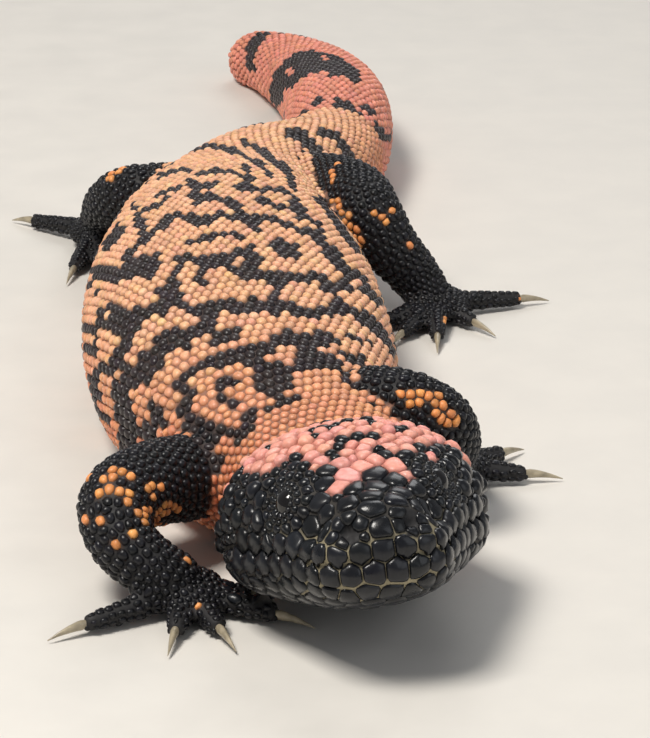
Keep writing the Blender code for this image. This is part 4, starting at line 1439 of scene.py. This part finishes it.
def noise(tree, scale, detail=3.0):
    """An even grain over the surface."""
    coordinate = tree.nodes.new("ShaderNodeTexCoord")
    made = tree.nodes.new("ShaderNodeTexNoise")
    set_inputs(made, {"Scale": scale, "Detail": detail, "Roughness": 0.55})
    tree.links.new(coordinate.outputs["Object"], made.inputs["Vector"])
    return made.outputs["Fac"]


def ramp(tree, source, start, dark, end, light):
    """A colour that goes from dark to light as its source goes from start to end."""
    made = tree.nodes.new("ShaderNodeValToRGB")
    elements = made.color_ramp.elements
    for element, position, colour in ((elements[0], start, dark), (elements[1], end, light)):
        element.position = position
        element.color = (*colour, 1)
    tree.links.new(source, made.inputs["Fac"])
    return made.outputs["Color"]


def point_colour(tree, name):
    """The colour kept at a mesh's points under a name."""
    made = tree.nodes.new("ShaderNodeAttribute")
    made.attribute_name = name
    return made.outputs["Color"]


def vary_roughness(tree, shader, source, low, high):
    """Roughness from low to high over the middle of a grain."""
    made = tree.nodes.new("ShaderNodeMapRange")
    set_inputs(made, {"From Min": 0.3, "From Max": 0.7, "To Min": low, "To Max": high})
    tree.links.new(source, made.inputs["Value"])
    tree.links.new(made.outputs["Result"], shader.inputs["Roughness"])


def add_bump(tree, shader, source, strength, distance):
    bump = tree.nodes.new("ShaderNodeBump")
    set_inputs(bump, {"Strength": strength, "Distance": distance})
    tree.links.new(source, bump.inputs["Height"])
    tree.links.new(bump.outputs["Normal"], shader.inputs["Normal"])


def scale_material(name, rough_low, rough_high, specular, coat, coat_rough, subsurface):
    """Scales coloured by their own tone with its painted rim shade, mottled, with fine wrinkles."""
    made, tree, shader = nodes_for(name)
    mix = tree.nodes.new("ShaderNodeMix")
    mix.data_type = "RGBA"
    mix.blend_type = "MULTIPLY"
    mix.inputs["Factor"].default_value = 1.0
    mottle = ramp(tree, noise(tree, 900.0), 0.30, (0.80, 0.76, 0.72), 0.62, (1.0, 1.0, 1.0))
    tree.links.new(point_colour(tree, "scale_colour_rim_shade"), mix.inputs[6])
    tree.links.new(mottle, mix.inputs[7])
    tree.links.new(mix.outputs[2], shader.inputs["Base Color"])
    vary_roughness(tree, shader, noise(tree, 160.0, 4.0), rough_low, rough_high)
    set_inputs(shader, {
        "Specular IOR Level": specular,
        "Coat Weight": coat,
        "Coat Roughness": coat_rough,
        "Subsurface Weight": subsurface,
        "Subsurface Scale": 0.001,
        "Subsurface Radius": (1.0, 0.45, 0.3),
    })
    add_bump(tree, shader, noise(tree, 2600.0, 2.0), 0.25, 0.0001)
    return made


def plain_material(name, colour, roughness, coat, scale, depth, dark):
    """One colour, mottled down to a share of it, with a fine grain."""
    made, tree, shader = nodes_for(name)
    grain = noise(tree, scale, 4.0)
    mottle = ramp(tree, grain, 0.3, np.array(colour) * dark, 0.65, colour)
    tree.links.new(mottle, shader.inputs["Base Color"])
    vary_roughness(tree, shader, grain, roughness * 0.85, roughness * 1.15)
    set_inputs(shader, {"Coat Weight": coat, "Coat Roughness": 0.1})
    add_bump(tree, shader, grain, 0.3, depth)
    return made


def skin_material():
    """The skin between the scales, coloured by its own points."""
    made, tree, shader = nodes_for("skin_between_scales")
    tree.links.new(point_colour(tree, "skin_colour"), shader.inputs["Base Color"])
    grain = noise(tree, 1500.0)
    vary_roughness(tree, shader, grain, 0.6, 0.8)
    add_bump(tree, shader, grain, 0.4, 0.0001)
    return made


SKIN_TONES = {
    "peach": (0.30, 0.15, 0.10),
    "pink": (0.27, 0.10, 0.08),
    "crown": (0.50, 0.19, 0.15),
    "spot": (0.06, 0.035, 0.025),
    "black": (0.05, 0.032, 0.028),
    "leg": (0.012, 0.011, 0.012),
    "head": (0.030, 0.026, 0.022),
}


def colour_skin(skin, scales):
    """Gives the skin the tone of the nearest scale, cream where the snout's seams are, and painted
    shade, near black, round the nostrils.
    """
    near = point_tree(scales.points)
    corners = millimetres(vertex_data(skin.data, "co"))
    tones = np.array([SKIN_TONES[name] for name in scales.classes])
    colour = tones[[near.find(point)[1] for point in corners]]
    head = to_head(corners)
    front = np.clip((20.0 - head[:, 1]) / 12.0, 0.0, 1.0) * np.clip((7.5 - head[:, 2]) / 4.0, 0.0, 1.0)
    front = (front * (np.abs(head[:, 0]) < 26) * (head[:, 2] > -16))[:, None] * 0.65
    colour = colour * (1 - front) + np.array(CREAM) * front
    # Painted shade: the skin round each nostril set near black, standing in for the shade in its pit
    for sign in BOTH_SIDES:
        colour[distances(head, mirrored(NOSTRIL_PLACE, sign)) < 3.2] = SKIN_TONES["leg"]
    rgba = np.concatenate([colour, np.ones((len(colour), 1))], axis=1)
    colour_layer(skin.data, "skin_colour", rgba)


def eyeball(name, sign):
    """A dark eye that stands out of its lids a little."""
    made = eye_form(name, sign, (EYE_RADIUS,) * 3)
    made.data.shade_smooth()
    return made


def claw_mesh(name, root, way):
    """A curved horn claw from a toe's tip to its point near the floor."""
    way = np.array((*way, 0.0))
    side = np.array((-way[1], way[0], 0.0))
    away = disc(around(16) * math.pi, side * 0.8, np.array(WORLD_UP))
    rings = []
    for share in np.linspace(-0.16, 0.985, 22):
        bent = max(share, 0.0)
        drop = (root[2] - CLAW_LIFT - CLAW_POINT) * bent**1.7
        thick = (CLAW_RADIUS * (1.0 - 0.92 * bent**1.15)) * (0.92 if share < 0 else 1.0)
        rings.append(root + way * share * CLAW_LENGTH - (0.0, 0.0, drop) + thick * away)
    made = closed_mesh(name, np.array(rings))
    made.data.shade_smooth()
    return made


def area_light(name, place, target, size, power, colour):
    data = bpy.data.lights.new(name, "AREA")
    data.size = size
    data.energy = power
    data.color = colour
    made = linked(name, data)
    made.location = place
    made.rotation_euler = (Vector(target) - Vector(place)).to_track_quat("-Z", "Y").to_euler()


# The skin and its scales
skin = make_skin()
tree = BVHTree.FromObject(skin, bpy.context.evaluated_depsgraph_get())
seeds = list(head_seeds(millimetres(vertex_data(skin.data, "co"))))
seeds.extend(body_seeds())
seeds.extend(tail_end_seeds())
for number, (name, bones, palm, heading, toes) in enumerate(FEET):
    across = LEG_ROOT + number * LEG_ROOT_STEP
    seeds.extend(foot_seeds(name, bones, palm, heading, toes, (across, FOOT_ROOT)))
    upper = (across, FOOT_ROOT + LEG_ROOT_UP)
    scale = (LEG_ALONG, LEG_ACROSS, "bead")
    seeds.extend(limb_seeds(name, bones, LIMB_FROM, LIMB_TO, *scale, upper))
kept = settle(seeds, tree)
fill_bare(kept, skin)
scales = Scales(kept)
colour_skin(skin, scales)

# Materials
light_scales = scale_material("scales_light", 0.38, 0.58, 0.45, 0.10, 0.30, 0.10)
dark_scales = scale_material("scales_dark", 0.30, 0.46, 0.30, 0.12, 0.22, 0.0)
head_scales = scale_material("scales_head", 0.22, 0.40, 0.35, 0.22, 0.14, 0.0)
eye_finish = plain_material("eye_black", (0.006, 0.005, 0.005), 0.08, 0.35, 700.0, 0.00008, 0.8)
horn = plain_material("claw_horn", (0.46, 0.39, 0.27), 0.32, 0.3, 500.0, 0.00006, 0.55)
pale = plain_material("floor_pale", (0.74, 0.71, 0.66), 0.7, 0.0, 60.0, 0.0001, 0.95)

# Pieces: what each replaces
flesh_nodes = [
    name for name in frame["nodes"] if not name.startswith("eye_") and "claw" not in name
]
skin.data.materials.append(skin_material())
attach(skin, "root")
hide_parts(*flesh_nodes)
SLOTS = {"head": "skin_head", "tail": "skin_tail", "legs": "skin_legs"}
for region, piece in scale_pieces(scales, tree).items():
    piece.data.materials.append(light_scales)
    piece.data.materials.append(head_scales if region == "head" else dark_scales)
    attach(piece, "root")
    SLOTS.get(region, "skin_back")
for name, sign in (("eye_left", 1.0), ("eye_right", -1.0)):
    ball = eyeball(name + "_ball", sign)
    ball.data.materials.append(eye_finish)
    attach(ball, "root")
    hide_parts(name)
for name, _bones, palm, _heading, toes in FEET:
    for count, tip in enumerate(toes, 1):
        _start, end, way = toe_line(palm, tip)
        root = end + (*(way * TOE_CAP), 0.0)
        node = name.replace("_", "_claw_") + "_" + str(count)
        nail = claw_mesh(node + "_horn", root, way)
        nail.data.materials.append(horn)
        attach(nail, "root")
        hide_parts(node)

# Floor, lights and camera
bpy.ops.mesh.primitive_plane_add(size=6.0, location=(0.0, 1.5, 0.0))
floor = bpy.context.object
floor.name = "floor"
floor.data.materials.append(pale)

area_light("key", (-0.45, -0.45, 1.2), (0.0, -0.05, 0.0), 0.42, 17.0, (1.0, 0.96, 0.90))
area_light("fill", (1.1, -0.9, 0.8), (0.0, -0.1, 0.0), 1.2, 4.0, (0.92, 0.96, 1.0))
area_light("back", (0.3, 1.2, 1.0), (0.0, 0.0, 0.0), 0.8, 5.0, (1.0, 1.0, 1.0))
sky = bpy.data.worlds.new("studio")
sky.use_nodes = True
set_inputs(sky.node_tree.nodes["Background"], {"Color": (0.93, 0.95, 1.0, 1), "Strength": 0.22})
bpy.context.scene.world = sky
bpy.context.scene.view_settings.view_transform = "Standard"

lens = bpy.data.cameras.new("camera")
lens.sensor_width = SENSOR
lens.lens = FOCAL_PIXELS * SENSOR / PICTURE[1]
camera = linked("camera", lens)
camera.location = Vector(world(CAMERA_PLACE))
camera.rotation_euler = (math.pi / 2 - CAMERA_DOWN, 0.0, 0.0)
bpy.context.scene.camera = camera
